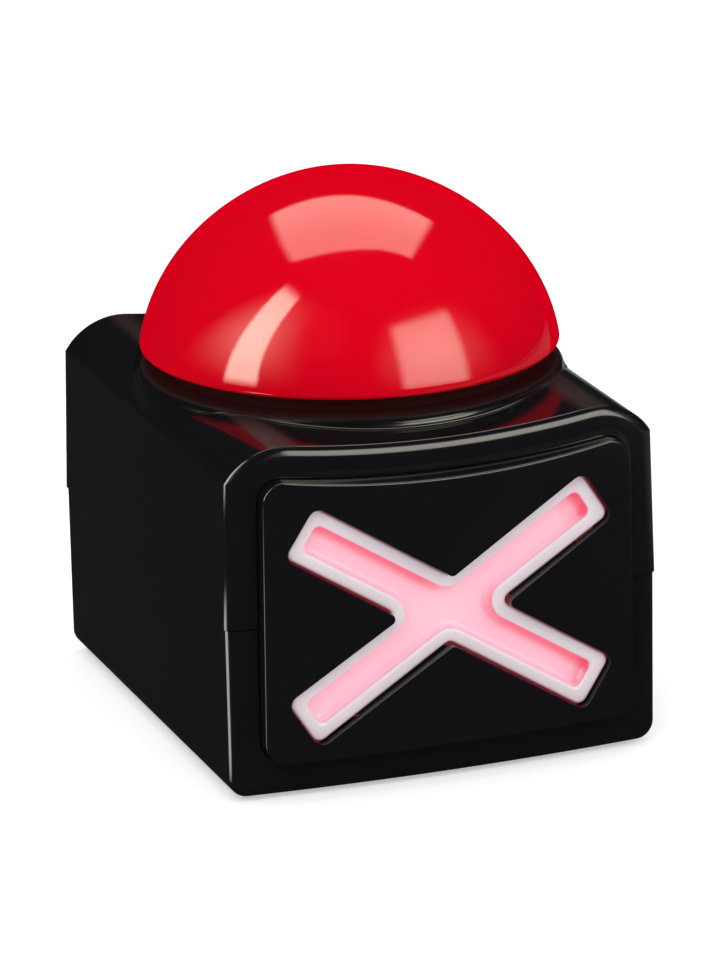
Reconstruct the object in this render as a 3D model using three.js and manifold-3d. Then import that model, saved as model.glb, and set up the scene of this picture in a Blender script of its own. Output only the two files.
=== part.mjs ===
// Quiz buzzer: a two-part black housing with a lit cross on its front and a large red press dome.
// Millimetres, +Z up, the lit cross faces -Y. The origin is on the surface that the buzzer stands
// on, below the middle of the whole buzzer. The pieces are drawn about the dome's axis.
import * as THREE from 'three';
import { mergeVertices } from 'three/addons/utils/BufferGeometryUtils.js';
import Module from 'manifold-3d';

const wasm = await Module();
wasm.setup();

// Driving dimensions of the housing
const HOUSING_WIDTH = 120;            // at the seam, the widest line
const HOUSING_DEPTH = 135;            // at the front corners
const FRONT_BOW = 3.1;                // how far the front bulges past its corners
const FOOT_HEIGHT = 1.5;              // feet showing below the housing
const SEAM_HEIGHT = 46.2;             // heights above the housing's underside
const CREASE_HEIGHT = 85.3;
const SHOULDER_HEIGHT = 93.8;
const TOP_DIP = 2.4;                  // how far the top's middle lies below its shoulders
const SHOULDER_X = 41;
const TOP_DRAFT = 1.05;               // how far each side leans in from seam to crease
const BOTTOM_DRAFT = 0.5;
const SEAM_STEP = 0.35;               // the lower half is this much smaller all round
const SEAM_GAP = 0.35;
const BOTTOM_CORNER_R = 4.8;
const EDGE_R = 1.5;                   // rounding of the back edges
const WALL = 2.4;
const GAP = 0.3;                      // clearance round seated pieces
const OVERRUN = 4;                    // how far cutting bodies run past what they cut
const MITRE_SHARE = 0.3;              // keeps a sharp corner's inset from running away

// Rounding round the front face, which meets the sides at a crease
const FRONT_ROUND = 3.6;
const FRONT_TURN = 0.96;              // angle of that rounding, in radians

// Collar under the dome
const COLLAR_MARGIN = 2.7;            // housing's side to the collar
const COLLAR_HEIGHT = 94.4;           // top of the collar's deck above the underside
const COLLAR_ROUND = 2;
const COLLAR_DRAFT = 0.7;             // widening of its wall towards its foot
const COLLAR_SKIRT_DEPTH = 12;        // collar wall below its deck
const DECK_THICKNESS = 2.5;

// Dome
const DOME_INSET = 0.8;               // collar to the dome
const DOME_HEIGHT = 51.7;             // equator to crown
const DOME_LIP_CLEAR = 4.5;           // deck to the dome's lower lip at rest
const DOME_EQUATOR_DROP = 4.7;        // the dome's equator lies below its lip
const DOME_POWER = 1.9;               // exponent of the dome's rounded profile
const DOME_WALL = 2.4;
const LIP_R = 1.1;
const PRESS_TRAVEL = 3.5;

// Dome carrier, guides, stops and springs
const CARRIER_RISE = 11.4;            // deck to the carrier's underside
const CARRIER_THICKNESS = 2.5;
const CARRIER_INSET = 6.7;            // dome to the carrier's rim
const RING_WALL = 1.8;                // dust ring on the deck, under the carrier's rim
const RING_HEIGHT = 4;
const GUIDE_INSET = 12;               // carrier's rim to the guides' axes
const GUIDE_R = 3.6;
const GUIDE_BORE_R = 4;
const SLEEVE_R = 6.2;
const SLEEVE_LENGTH = 14.6;           // deck top to the sleeve's lower end
const GUIDE_COUNT = 4;
const STOP_R = 5.4;
const STOP_THICKNESS = 1.4;
const STOP_SCREW_R = 1.5;
const STOP_SCREW_LENGTH = 7;
const SPRING_R = 7.2;
const SPRING_WIRE_R = 0.5;
const SPRING_TURNS = 3.5;
const STEM_R = 4.5;
const STEM_BORE_R = 6.5;
const DOME_BOSS_COUNT = 3;
const DOME_BOSS_INSET = 11;           // guides' circle to the dome's bosses
const DOME_BOSS_R = 4;
const PILOT_R = 1.6;                  // screw holes
const SCREW_R = 1.3;                  // screw shanks
const SCREW_HEAD_R = 2.8;
const SCREW_HEAD_HEIGHT = 1.8;

// Front plate with the cross opening
const PLATE_MARGIN_TOP = 9.2;         // housing's side to the plate's
const PLATE_MARGIN_BOTTOM = 8.6;
const PLATE_LOW = 9.5;                // heights above the underside
const PLATE_HIGH = 83.4;              // at the middle
const PLATE_DIP = 2.5;                // rise of its top edge at the corners
const PLATE_CORNER_R = 6;
const PLATE_PROUD = 4.2;
const PLATE_SAG = 1.2;                // its front's top edge lies lower in the middle than its foot
const PLATE_EDGE_R = 0.5;
const PLATE_WALL = 2.4;
const SEAT_DEPTH = 2;                 // housing corner plane to the plate's flat back
const WINDOW_LEDGE = 7;               // plate's edge to the opening behind it
const WINDOW_CORNER_R = 5;

// Cross
const CROSS_DROP = 0.7;               // its middle below the plate's
const CROSS_SIDE_ROOM = 9.8;          // plate's side to the middle of an arm's end
const CROSS_END_ROOM = 10.9;          // plate's top or bottom to the middle of an arm's end
const ARM_HALF = 7.6;
const ARM_CORNER_R = 2.6;
const NOTCH_R = 1.8;
const RIM_WIDTH = 3.2;
const RIM_PROUD = 4;                  // housing corner plane to the rim
const RIM_ROUND = 0.9;
const RECESS_DEPTH = 2.8;
const LENS_FLOOR = 1.8;
const LENS_WALL = 2;
const FLANGE_WIDTH = 2;
const FLANGE_THICKNESS = 1.4;
const CROSS_GAP = 0.5;                // lens to the plate's opening

// Light box and board behind the cross
const BOX_SIDE_ROOM = 1.6;            // light box to the screw columns
const BOX_HALF_HEIGHT = 35;
const BOX_DEPTH = 12;
const BOX_WALL = 1.6;
const BOARD_THICKNESS = 1.6;
const LED_R = 2.5;
const LED_HEIGHT = 8;
const LED_FLANGE_R = 2.9;
const LED_FLANGE_HEIGHT = 1;
const LED_REACH_SHARE = 0.62;         // share of an arm at which its light sits

// Main board and push switch
const MAIN_BOARD_DROP = 20.5;         // deck top to the board's upper face
const MAIN_BOARD_HALF = 25;
const STANDOFF_INSET = 4;             // board's edge to a standoff
const STANDOFF_R = 3.4;
const BOARD_SCREW_REACH = 7;          // into a standoff
const SWITCH_HALF = 6;
const SWITCH_HEIGHT = 6.5;
const PLUNGER_R = 3;
const PLUNGER_HEIGHT = 4.6;           // above the switch body
const PLUNGER_DEPTH = 5;              // inside the switch body
const CHIP_R = 5;
const CHIP_HEIGHT = 1.6;
const CHIP_SHARES = [0.8, 0.7];        // width of its crown, height of its side
const CHIP_PLACE_SHARE = 0.5;         // of the way to the board's corner

// Speaker
const SPEAKER_MARGIN = 4.5;           // floor left free round the speaker's ring
const SPEAKER_HEIGHT = 12;
const SPEAKER_RIM = 3;
const SPEAKER_RIM_HEIGHT = 2;
const BASKET_SHARE = 0.56;            // of the speaker's radius
const MAGNET_SHARE = 0.48;
const MAGNET_HEIGHT = 6;
const CONE_THICKNESS = 0.8;
const CONE_CAP_SHARE = 0.35;          // dust cap's radius
const CONE_DEPTH_SHARES = [0.6, 0.75, 0.85];
const GRILLE_HOLE_R = 2;
const GRILLE_REACH_SHARE = 0.56;      // of the speaker's radius
const GRILLE_RINGS = 2;

// Batteries, bay and door
const CELL_R = 7.1;
const CELL_LENGTH = 49;
const CELL_NUB_R = 2.7;
const CELL_NUB = 1.2;
const CELL_SPACE = 0.8;               // between cells
const CELL_COUNT = 3;
const BAY_END = 3.6;                  // room for a contact at each end
const BAY_WALL = 1.6;
const DOOR_THICKNESS = 2.2;
const DOOR_OVERLAP = 2.2;
const TONGUE_WIDTH = 1.6;
const TONGUE_THICKNESS = 1;
const RAIL_RISE = 2.6;                // thick floor round the door
const RAIL_WIDTH = 6;
const CONTACT_THICKNESS = 0.4;
const CONTACT_WIDTH = 9;
const CONTACT_HEIGHT = 10;
const COIL_R = 2.6;
const COIL_WIRE_R = 0.4;
const COIL_TURNS = 2;
const GRIP_COUNT = 4;
const GRIP_LENGTH = 18;
const GRIP_WIDTH = 1.2;
const GRIP_DEPTH = 0.6;
const GRIP_PITCH = 3;

// Power switch in the underside
const POWER_INSET = 17;               // housing's side to the switch
const POWER_Y = -4;
const POWER_BODY_X = 6;
const POWER_BODY_Y = 12;
const POWER_BODY_HEIGHT = 6;
const KNOB_X = 3;
const KNOB_Y = 4;
const KNOB_TRAVEL = 4;
const KNOB_SHOWS = 0.8;
const KNOB_ROOT = 1.5;                // inside the switch body

// Housing screws and feet
const BOSS_INSET = 8.7;               // housing's side to the screws
const BOSS_FRONT_INSET = 13.2;
const BOSS_BACK_INSET = 13;
const BOSS_R = 4.3;
const COUNTERBORE_R = 3.2;
const BOSS_WEB = 3;
const HOUSING_SCREW_LENGTH = 12;
const TONGUE_RISE = 2.5;              // the lower half's lip inside the upper half
const TONGUE_WALL = 1.4;
const FOOT_R = 5;
const FOOT_SINK = 1;
const FOOT_FRONT_INSET = 8.7;
const FOOT_BACK_INSET = 25;

// Leads
const LEAD_R = 0.9;

// Facets
const ROUND = 36;
const SMALL_ROUND = 12;
const SCREW_SIDES = 8;
const ARC_STEPS = 4;
const FINE_ARC_STEPS = 2;
const DOME_STEPS = 12;
const WIRE_STEPS = 3;
const COIL_STEPS = 8;                 // per turn
const TOP_STEPS = 6;

// Heights and depths worked out from the above
const UNDERSIDE = FOOT_HEIGHT;
const SEAM_Z = UNDERSIDE + SEAM_HEIGHT;
const DECK_Z = UNDERSIDE + COLLAR_HEIGHT;
const DECK_UNDER_Z = DECK_Z - DECK_THICKNESS;
const CARRIER_Z = DECK_Z + CARRIER_RISE;
const LIP_Z = DECK_Z + DOME_LIP_CLEAR;
const EQUATOR_Z = LIP_Z - DOME_EQUATOR_DROP;
const SLEEVE_Z = DECK_Z - SLEEVE_LENGTH;
const BACK_Y = HOUSING_DEPTH / 2;
const CORNER_Y = -BACK_Y;
const SEAT_Y = CORNER_Y + SEAT_DEPTH;
const FRONT_WALL_Y = SEAT_Y + WALL;
const FLOOR_Z = UNDERSIDE + WALL;
const HALF_WIDTH = HOUSING_WIDTH / 2;
const COLLAR_R = HALF_WIDTH - COLLAR_MARGIN;
const DOME_R = COLLAR_R - DOME_INSET;
const CARRIER_R = DOME_R - CARRIER_INSET;
const RING_R = CARRIER_R;
const GUIDE_CIRCLE_R = CARRIER_R - GUIDE_INSET;
const DOME_BOSS_CIRCLE_R = GUIDE_CIRCLE_R - DOME_BOSS_INSET;
const PLATE_HALF_TOP = HALF_WIDTH - PLATE_MARGIN_TOP;
const PLATE_HALF_BOTTOM = HALF_WIDTH - PLATE_MARGIN_BOTTOM;
const WINDOW_HALF = PLATE_HALF_TOP - WINDOW_LEDGE;
const CROSS_Z = UNDERSIDE + (PLATE_LOW + PLATE_HIGH) / 2 - CROSS_DROP;
const ARM_END_X = PLATE_HALF_TOP - CROSS_SIDE_ROOM;
const ARM_END_RISE = (PLATE_HIGH - PLATE_LOW) / 2 - CROSS_END_ROOM;
const ARM_ANGLE = Math.atan2(ARM_END_RISE, ARM_END_X);
const ARM_LENGTH = Math.hypot(ARM_END_RISE, ARM_END_X);
const BOSS_X = HALF_WIDTH - BOSS_INSET;
const BOSS_FRONT_Y = CORNER_Y + BOSS_FRONT_INSET;
const BOSS_BACK_Y = BACK_Y - BOSS_BACK_INSET;
const FOOT_FRONT_Y = CORNER_Y + FOOT_FRONT_INSET;
const FOOT_BACK_Y = BACK_Y - FOOT_BACK_INSET;
const POWER_X = HALF_WIDTH - POWER_INSET;
const BOX_HALF = BOSS_X - BOSS_R - BOX_SIDE_ROOM;
const CELL_PITCH = CELL_R * 2 + CELL_SPACE;
const MAIN_BOARD_Z = DECK_Z - MAIN_BOARD_DROP;
const BOX_BACK_Y = FRONT_WALL_Y + BOX_DEPTH;
const RIM_Y = CORNER_Y - RIM_PROUD;
const INNER_HALF = HALF_WIDTH - WALL;
const BAY_HALF = CELL_LENGTH / 2 + BAY_END;
const BAY_BACK_Y = BACK_Y - WALL;
const BAY_FRONT_Y = BAY_BACK_Y - CELL_COUNT * CELL_PITCH - GAP;
const DOOR_TOP_Z = UNDERSIDE + DOOR_THICKNESS;
const CELL_Z = DOOR_TOP_Z + GAP + CELL_R;
const BAY_TOP_Z = CELL_Z + CELL_R + GAP;
const DOOR_HALF = BAY_HALF + DOOR_OVERLAP;
const DOOR_FRONT_Y = BAY_FRONT_Y - DOOR_OVERLAP;
const TONGUE_Z = DOOR_TOP_Z - TONGUE_THICKNESS;
const RAIL_HALF = DOOR_HALF + RAIL_WIDTH;
const RAIL_FRONT_Y = DOOR_FRONT_Y - RAIL_WIDTH;
const FOOT_X = (RAIL_HALF + BOSS_X - COUNTERBORE_R) / 2;
const STANDOFF_X = MAIN_BOARD_HALF - STANDOFF_INSET;
const BOARD_BACK_Y = BOX_BACK_Y + BOARD_THICKNESS;
const SPEAKER_R = (RAIL_FRONT_Y - BOARD_BACK_Y) / 2 - SPEAKER_MARGIN - BAY_WALL - GAP;
const SPEAKER_Y = (RAIL_FRONT_Y + BOARD_BACK_Y) / 2;
const SPEAKER_BASKET_R = SPEAKER_R * BASKET_SHARE;
const MAGNET_R = SPEAKER_R * MAGNET_SHARE;
const GRILLE_PITCH = SPEAKER_R * GRILLE_REACH_SHARE / GRILLE_RINGS;

const material = (color, roughness, metalness = 0) =>
  new THREE.MeshStandardMaterial({ color, roughness, metalness });
const BLACK = material(0x121314, 0.12);
const RED = material(0xd40018, 0.08);
const LENS = material(0xf6c3cf, 0.3);
const WHITE = material(0xe8e6e0, 0.6);
const BOARD = material(0x1f5a34, 0.5);
const STEEL = material(0xb9bcc0, 0.35, 1);
const DARK = material(0x1c1c1e, 0.6);
const RUBBER = material(0x242424, 0.9);
const LED_CLEAR = material(0xd8392f, 0.15);
const PAPER = material(0x2b2a28, 0.85);
const CELL = material(0x3b5d7d, 0.4);
const WIRE = material(0x8c1f1c, 0.5);

const buzzer = new THREE.Group();
const pieces = new THREE.Group();
pieces.position.y = (FRONT_BOW + PLATE_PROUD) / 2;
buzzer.add(pieces);

// A closed solid from a three.js geometry, for joining and cutting.
function solid(geometry) {
  const bare = geometry.clone();
  bare.deleteAttribute('normal');
  bare.deleteAttribute('uv');
  const merged = mergeVertices(bare, 1e-4);
  const index = merged.index.array;
  const triangles = [];
  for (let i = 0; i < index.length; i += 3) {
    const [a, b, c] = [index[i], index[i + 1], index[i + 2]];
    if (a !== b && b !== c && a !== c) triangles.push(a, b, c);
  }
  const vertProperties = new Float32Array(merged.attributes.position.array);
  return new wasm.Manifold(new wasm.Mesh({
    numProp: 3,
    vertProperties,
    triVerts: new Uint32Array(triangles),
  }));
}

function geometryOf(manifold) {
  const mesh = manifold.getMesh();
  const geometry = new THREE.BufferGeometry();
  geometry.setAttribute('position', new THREE.BufferAttribute(new Float32Array(mesh.vertProperties), 3));
  geometry.setIndex(new THREE.BufferAttribute(new Uint32Array(mesh.triVerts), 1));
  geometry.computeVertexNormals();
  return geometry;
}

function add(name, shape, look) {
  const geometry = shape.isBufferGeometry ? geometryOf(solid(shape)) : geometryOf(shape);
  const mesh = new THREE.Mesh(geometry, look);
  mesh.name = name;
  pieces.add(mesh);
  return mesh;
}

const join = (...pieces) => pieces.reduce((all, piece) => all.add(piece));
const cut = (body, ...tools) => tools.reduce((rest, tool) => rest.subtract(tool), body);

// Boxes and upright cylinders given by their limits.
function box(x0, x1, y0, y1, z0, z1) {
  const geometry = new THREE.BoxGeometry(x1 - x0, y1 - y0, z1 - z0);
  geometry.translate((x0 + x1) / 2, (y0 + y1) / 2, (z0 + z1) / 2);
  return solid(geometry);
}

function post(x, y, z0, z1, radius, sides = SMALL_ROUND) {
  const geometry = new THREE.CylinderGeometry(radius, radius, z1 - z0, sides);
  geometry.rotateX(Math.PI / 2);
  geometry.translate(x, y, (z0 + z1) / 2);
  return solid(geometry);
}

// A profile of [radius, height] points turned round the Z axis.
function turned(profile, segments = ROUND) {
  const geometry = new THREE.LatheGeometry(profile.map(([r, z]) => new THREE.Vector2(r, z)), segments);
  geometry.rotateX(Math.PI / 2);
  return solid(geometry);
}

// An outline in X and Z, drawn out along Y from y0 to y1.
function drawnBack(outline, y0, y1) {
  const shape = new THREE.Shape(outline.map(([x, z]) => new THREE.Vector2(x, z)));
  const geometry = new THREE.ExtrudeGeometry(shape, { depth: y1 - y0, bevelEnabled: false });
  geometry.rotateX(Math.PI / 2);
  geometry.translate(0, y1, 0);
  return solid(geometry);
}

// Points of an arc about (cx, cz) from one angle to another.
function arc(cx, cz, radius, from, to, steps = ARC_STEPS) {
  const points = [];
  for (let i = 0; i <= steps; i += 1) {
    const angle = from + (to - from) * i / steps;
    points.push([cx + radius * Math.cos(angle), cz + radius * Math.sin(angle)]);
  }
  return points;
}

// Moves every point of a closed outline, listed counter-clockwise, inwards by a distance.
function inset(outline, distance) {
  const count = outline.length;
  return outline.map(([x, z], i) => {
    const [px, pz] = outline[(i + count - 1) % count];
    const [nx, nz] = outline[(i + 1) % count];
    const before = new THREE.Vector2(x - px, z - pz).normalize();
    const after = new THREE.Vector2(nx - x, nz - z).normalize();
    const normal = new THREE.Vector2(-before.y - after.y, before.x + after.x).normalize();
    const reach = distance / Math.max(normal.dot(new THREE.Vector2(-before.y, before.x)), MITRE_SHARE);
    return [x + normal.x * reach, z + normal.y * reach];
  });
}

// Housing section

const topZ = (x) => UNDERSIDE + SHOULDER_HEIGHT - TOP_DIP * (1 - (x / SHOULDER_X) ** 2);

// The right half of the top: from the middle over the shoulder down to the crease.
function topRun() {
  const points = [];
  for (let i = 0; i < TOP_STEPS; i += 1) {
    const x = SHOULDER_X * i / TOP_STEPS;
    points.push([x, topZ(x)]);
  }
  const slope = Math.atan(2 * TOP_DIP / SHOULDER_X);
  const start = new THREE.Vector2(SHOULDER_X, topZ(SHOULDER_X));
  const end = new THREE.Vector2(HALF_WIDTH - TOP_DRAFT, UNDERSIDE + CREASE_HEIGHT);
  const inward = new THREE.Vector2(Math.sin(slope), -Math.cos(slope));
  const chord = end.clone().sub(start);
  const radius = chord.lengthSq() / (2 * chord.dot(inward));
  const center = start.clone().addScaledVector(inward, radius);
  const from = Math.atan2(start.y - center.y, start.x - center.x);
  const to = Math.atan2(end.y - center.y, end.x - center.x);
  return points.concat(arc(center.x, center.y, radius, from, to, ARC_STEPS + 2));
}

// The whole section counter-clockwise, from the bottom's middle.
function housingSection() {
  const half = HALF_WIDTH;
  const lowHalf = half - BOTTOM_DRAFT;
  const right = [];
  for (let i = 0; i < TOP_STEPS / 2; i += 1) {
    right.push([(lowHalf - BOTTOM_CORNER_R) * i / (TOP_STEPS / 2), UNDERSIDE]);
  }
  const cornerX = lowHalf - BOTTOM_CORNER_R;
  right.push(...arc(cornerX, UNDERSIDE + BOTTOM_CORNER_R, BOTTOM_CORNER_R, -Math.PI / 2, 0));
  right.push([half, SEAM_Z]);
  right.push(...topRun().reverse());
  const left = right.slice(1, -1).reverse().map(([x, z]) => [-x, z]);
  return right.concat(left);
}

const frontY = (x) => CORNER_Y - FRONT_BOW * (1 - (x / HALF_WIDTH) ** 2);

// A closed skin over rings of equal point counts, each point being [x, y, z].
function skin(rings) {
  const count = rings[0].length;
  const points = rings.flat();
  const faces = [];
  for (let r = 0; r + 1 < rings.length; r += 1) {
    for (let i = 0; i < count; i += 1) {
      const a = r * count + i;
      const b = r * count + (i + 1) % count;
      faces.push(a, a + count, b, b, a + count, b + count);
    }
  }
  const ends = [[0, false], [(rings.length - 1) * count, true]];
  for (const [offset, last] of ends) {
    const ring = points.slice(offset, offset + count).map(([x, , z]) => new THREE.Vector2(x, z));
    for (const [a, b, c] of THREE.ShapeUtils.triangulateShape(ring, [])) {
      faces.push(offset + a, offset + (last ? c : b), offset + (last ? b : c));
    }
  }
  const geometry = new THREE.BufferGeometry();
  geometry.setAttribute('position', new THREE.Float32BufferAttribute(points.flat(), 3));
  geometry.setIndex(faces);
  return solid(geometry);
}

// A plan outline with the bowed front, standing from z0 to z1, set back by an offset.
function bowedBlock(offset, halfWidth, z0, z1) {
  const plan = [[halfWidth, BACK_Y + OVERRUN], [-halfWidth, BACK_Y + OVERRUN]];
  const steps = TOP_STEPS * 3;
  for (let i = 0; i <= steps; i += 1) {
    const x = halfWidth * (2 * i / steps - 1);
    plan.push([x, frontY(x) + offset]);
  }
  const shape = new THREE.Shape(plan.map(([x, y]) => new THREE.Vector2(x, y)));
  const geometry = new THREE.ExtrudeGeometry(shape, { depth: z1 - z0, bevelEnabled: false });
  geometry.translate(0, 0, z0);
  return solid(geometry);
}

// The housing's outside: constant along its depth, rounded at the back, with a partly rounded
// edge and a bow at the front.
function housingBody() {
  const section = housingSection();
  const ring = (offset, place) => inset(section, offset).map(([x, z]) => [x, place(x), z]);
  const rings = [];
  for (const [r, y] of arc(EDGE_R, BACK_Y - EDGE_R, EDGE_R, Math.PI / 2, Math.PI, FINE_ARC_STEPS)) {
    rings.push(ring(r, () => y));
  }
  const near = (depth) => (x) => frontY(x) + depth;
  const inner = FRONT_ROUND * Math.sin(FRONT_TURN);
  const front = Math.PI * 1.5;
  for (const [r, depth] of arc(inner, FRONT_ROUND, FRONT_ROUND, front - FRONT_TURN, front)) {
    rings.push(ring(r, near(depth)));
  }
  rings.push(ring(inner, (x) => frontY(x) - OVERRUN));
  const half = HALF_WIDTH + OVERRUN;
  const body = skin(rings.reverse());
  return body.intersect(bowedBlock(0, half, -OVERRUN, DECK_Z + OVERRUN));
}

function housingCavity() {
  return drawnBack(inset(housingSection(), WALL), FRONT_WALL_Y, BACK_Y - WALL);
}

// Plate outline, also used for its seat and its hollow.
function plateOutline(offset, sag = 0) {
  const low = UNDERSIDE + PLATE_LOW;
  const high = UNDERSIDE + PLATE_HIGH;
  const cornerX = PLATE_HALF_TOP - PLATE_CORNER_R;
  const cornerZ = high + PLATE_DIP - PLATE_CORNER_R;
  const lowX = PLATE_HALF_BOTTOM - PLATE_CORNER_R;
  const right = arc(lowX, low + PLATE_CORNER_R, PLATE_CORNER_R, -Math.PI / 2, 0);
  right.push(...arc(cornerX, cornerZ, PLATE_CORNER_R, 0, Math.PI / 2));
  for (let i = TOP_STEPS - 1; i >= 0; i -= 1) {
    const x = cornerX * i / TOP_STEPS;
    right.push([x, high - sag + (PLATE_DIP + sag) * (x / cornerX) ** 2]);
  }
  const left = right.slice(0, -1).reverse().map(([x, z]) => [-x, z]);
  return inset(right.concat(left), offset);
}

// The cross: four arms with rounded ends and notches, grown outwards by an offset.
function crossOutline(grow) {
  const half = ARM_HALF + grow;
  const length = ARM_LENGTH + grow;
  const endR = Math.max(ARM_CORNER_R + grow, RIM_ROUND / 2);
  const notchR = Math.max(NOTCH_R - grow, RIM_ROUND / 2);
  const corners = [];
  const arms = [ARM_ANGLE, Math.PI - ARM_ANGLE, Math.PI + ARM_ANGLE, 2 * Math.PI - ARM_ANGLE];
  for (const [i, angle] of arms.entries()) {
    const along = new THREE.Vector2(Math.cos(angle), Math.sin(angle));
    const across = new THREE.Vector2(-along.y, along.x);
    corners.push([along.clone().multiplyScalar(length).addScaledVector(across, -half), endR]);
    corners.push([along.clone().multiplyScalar(length).addScaledVector(across, half), endR]);
    const upright = i % 2 === 0;
    const reach = upright ? half / Math.cos(ARM_ANGLE) : half / Math.sin(ARM_ANGLE);
    const turn = [Math.PI / 2, Math.PI, Math.PI * 1.5, 0][i];
    corners.push([new THREE.Vector2(reach * Math.cos(turn), reach * Math.sin(turn)), notchR]);
  }
  const points = [];
  corners.forEach(([corner, radius], i) => {
    const before = corners[(i + corners.length - 1) % corners.length][0];
    const after = corners[(i + 1) % corners.length][0];
    const toBefore = before.clone().sub(corner).normalize();
    const toAfter = after.clone().sub(corner).normalize();
    const halfAngle = Math.acos(toBefore.dot(toAfter)) / 2;
    const middle = toBefore.clone().add(toAfter).normalize();
    const center = corner.clone().addScaledVector(middle, radius / Math.sin(halfAngle));
    const start = corner.clone().addScaledVector(toBefore, radius / Math.tan(halfAngle)).sub(center);
    const end = corner.clone().addScaledVector(toAfter, radius / Math.tan(halfAngle)).sub(center);
    const from = start.angle();
    let sweep = end.angle() - from;
    if (sweep > Math.PI) sweep -= 2 * Math.PI;
    if (sweep < -Math.PI) sweep += 2 * Math.PI;
    points.push(...arc(center.x, CROSS_Z + center.y, radius, from, from + sweep, FINE_ARC_STEPS + 1));
  });
  return points;
}

const crossBlock = (grow, y0, y1) => drawnBack(crossOutline(grow), y0, y1);

// Places that several pieces share
const guidePlaces = [];
for (let i = 0; i < GUIDE_COUNT; i += 1) {
  const angle = 2 * Math.PI * (i + 1 / 2) / GUIDE_COUNT;
  guidePlaces.push([GUIDE_CIRCLE_R * Math.cos(angle), GUIDE_CIRCLE_R * Math.sin(angle)]);
}
const domeBossPlaces = [];
for (let i = 0; i < DOME_BOSS_COUNT; i += 1) {
  const angle = 2 * Math.PI * (i / DOME_BOSS_COUNT + 1 / 4);
  domeBossPlaces.push([DOME_BOSS_CIRCLE_R * Math.cos(angle), DOME_BOSS_CIRCLE_R * Math.sin(angle)]);
}
const fourPlaces = (x, frontPlace, backPlace) => (
  [[-x, frontPlace], [x, frontPlace], [-x, backPlace], [x, backPlace]]
);
const bossPlaces = fourPlaces(BOSS_X, BOSS_FRONT_Y, BOSS_BACK_Y);
const footPlaces = fourPlaces(FOOT_X, FOOT_FRONT_Y, FOOT_BACK_Y);
const standoffPlaces = [[-STANDOFF_X, 0], [STANDOFF_X, 0]];

// Opening for the plate's seat and the window behind it
function plateSeat() {
  const seat = drawnBack(plateOutline(-GAP), CORNER_Y - FRONT_BOW - OVERRUN, SEAT_Y);
  const low = UNDERSIDE + PLATE_LOW + WINDOW_LEDGE;
  const high = UNDERSIDE + PLATE_HIGH - WINDOW_LEDGE;
  const inner = WINDOW_HALF - WINDOW_CORNER_R;
  const outline = [
    ...arc(inner, low + WINDOW_CORNER_R, WINDOW_CORNER_R, -Math.PI / 2, 0),
    ...arc(inner, high - WINDOW_CORNER_R, WINDOW_CORNER_R, 0, Math.PI / 2),
    ...arc(-inner, high - WINDOW_CORNER_R, WINDOW_CORNER_R, Math.PI / 2, Math.PI),
    ...arc(-inner, low + WINDOW_CORNER_R, WINDOW_CORNER_R, Math.PI, Math.PI * 1.5),
  ];
  return join(seat, drawnBack(outline, CORNER_Y - OVERRUN, FRONT_WALL_Y + OVERRUN));
}

function makeTopHousing() {
  const collar = turned([
    [0, DECK_Z - COLLAR_SKIRT_DEPTH],
    [COLLAR_R + COLLAR_DRAFT, DECK_Z - COLLAR_SKIRT_DEPTH],
    ...arc(COLLAR_R - COLLAR_ROUND, DECK_Z - COLLAR_ROUND, COLLAR_ROUND, 0, Math.PI / 2),
    [0, DECK_Z],
  ]);
  const half = HALF_WIDTH + OVERRUN;
  const above = box(-half, half, -HOUSING_DEPTH, HOUSING_DEPTH, SEAM_Z, DECK_Z + OVERRUN);
  const body = housingBody().intersect(above);
  let shell = cut(
    join(body, collar.intersect(above)),
    housingCavity(),
    post(0, 0, DECK_Z - COLLAR_SKIRT_DEPTH - OVERRUN, DECK_UNDER_Z, COLLAR_R - WALL, ROUND),
  );
  const columns = bossPlaces.map(([x, y]) => post(x, y, SEAM_Z, DECK_Z, BOSS_R).intersect(body));
  const sleeves = guidePlaces.map(([x, y]) => post(x, y, SLEEVE_Z, DECK_Z - DECK_THICKNESS / 2, SLEEVE_R));
  const deckMiddle = DECK_Z - DECK_THICKNESS / 2;
  const standoffs = standoffPlaces.map(([x, y]) => post(x, y, MAIN_BOARD_Z, deckMiddle, STANDOFF_R));
  const dustRing = cut(
    post(0, 0, DECK_Z - DECK_THICKNESS / 2, DECK_Z + RING_HEIGHT, RING_R, ROUND),
    post(0, 0, DECK_Z - DECK_THICKNESS, DECK_Z + OVERRUN * 2, RING_R - RING_WALL, ROUND),
  );
  shell = join(shell, dustRing, ...columns, ...sleeves, ...standoffs);
  const bores = guidePlaces.map(([x, y]) => post(x, y, SLEEVE_Z - OVERRUN, DECK_Z + OVERRUN, GUIDE_BORE_R));
  const pilots = bossPlaces.map(([x, y]) => (
    post(x, y, SEAM_Z - OVERRUN, SEAM_Z + HOUSING_SCREW_LENGTH, PILOT_R, SCREW_SIDES)
  ));
  const boardPilots = standoffPlaces.map(([x, y]) => (
    post(x, y, MAIN_BOARD_Z - OVERRUN, MAIN_BOARD_Z + BOARD_SCREW_REACH + GAP, PILOT_R, SCREW_SIDES)
  ));
  shell = cut(
    shell,
    plateSeat(),
    post(0, 0, DECK_UNDER_Z - OVERRUN, DECK_Z + OVERRUN, STEM_BORE_R),
    ...bores,
    ...pilots,
    ...boardPilots,
  );
  add('top_housing', shell, BLACK);
}

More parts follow.
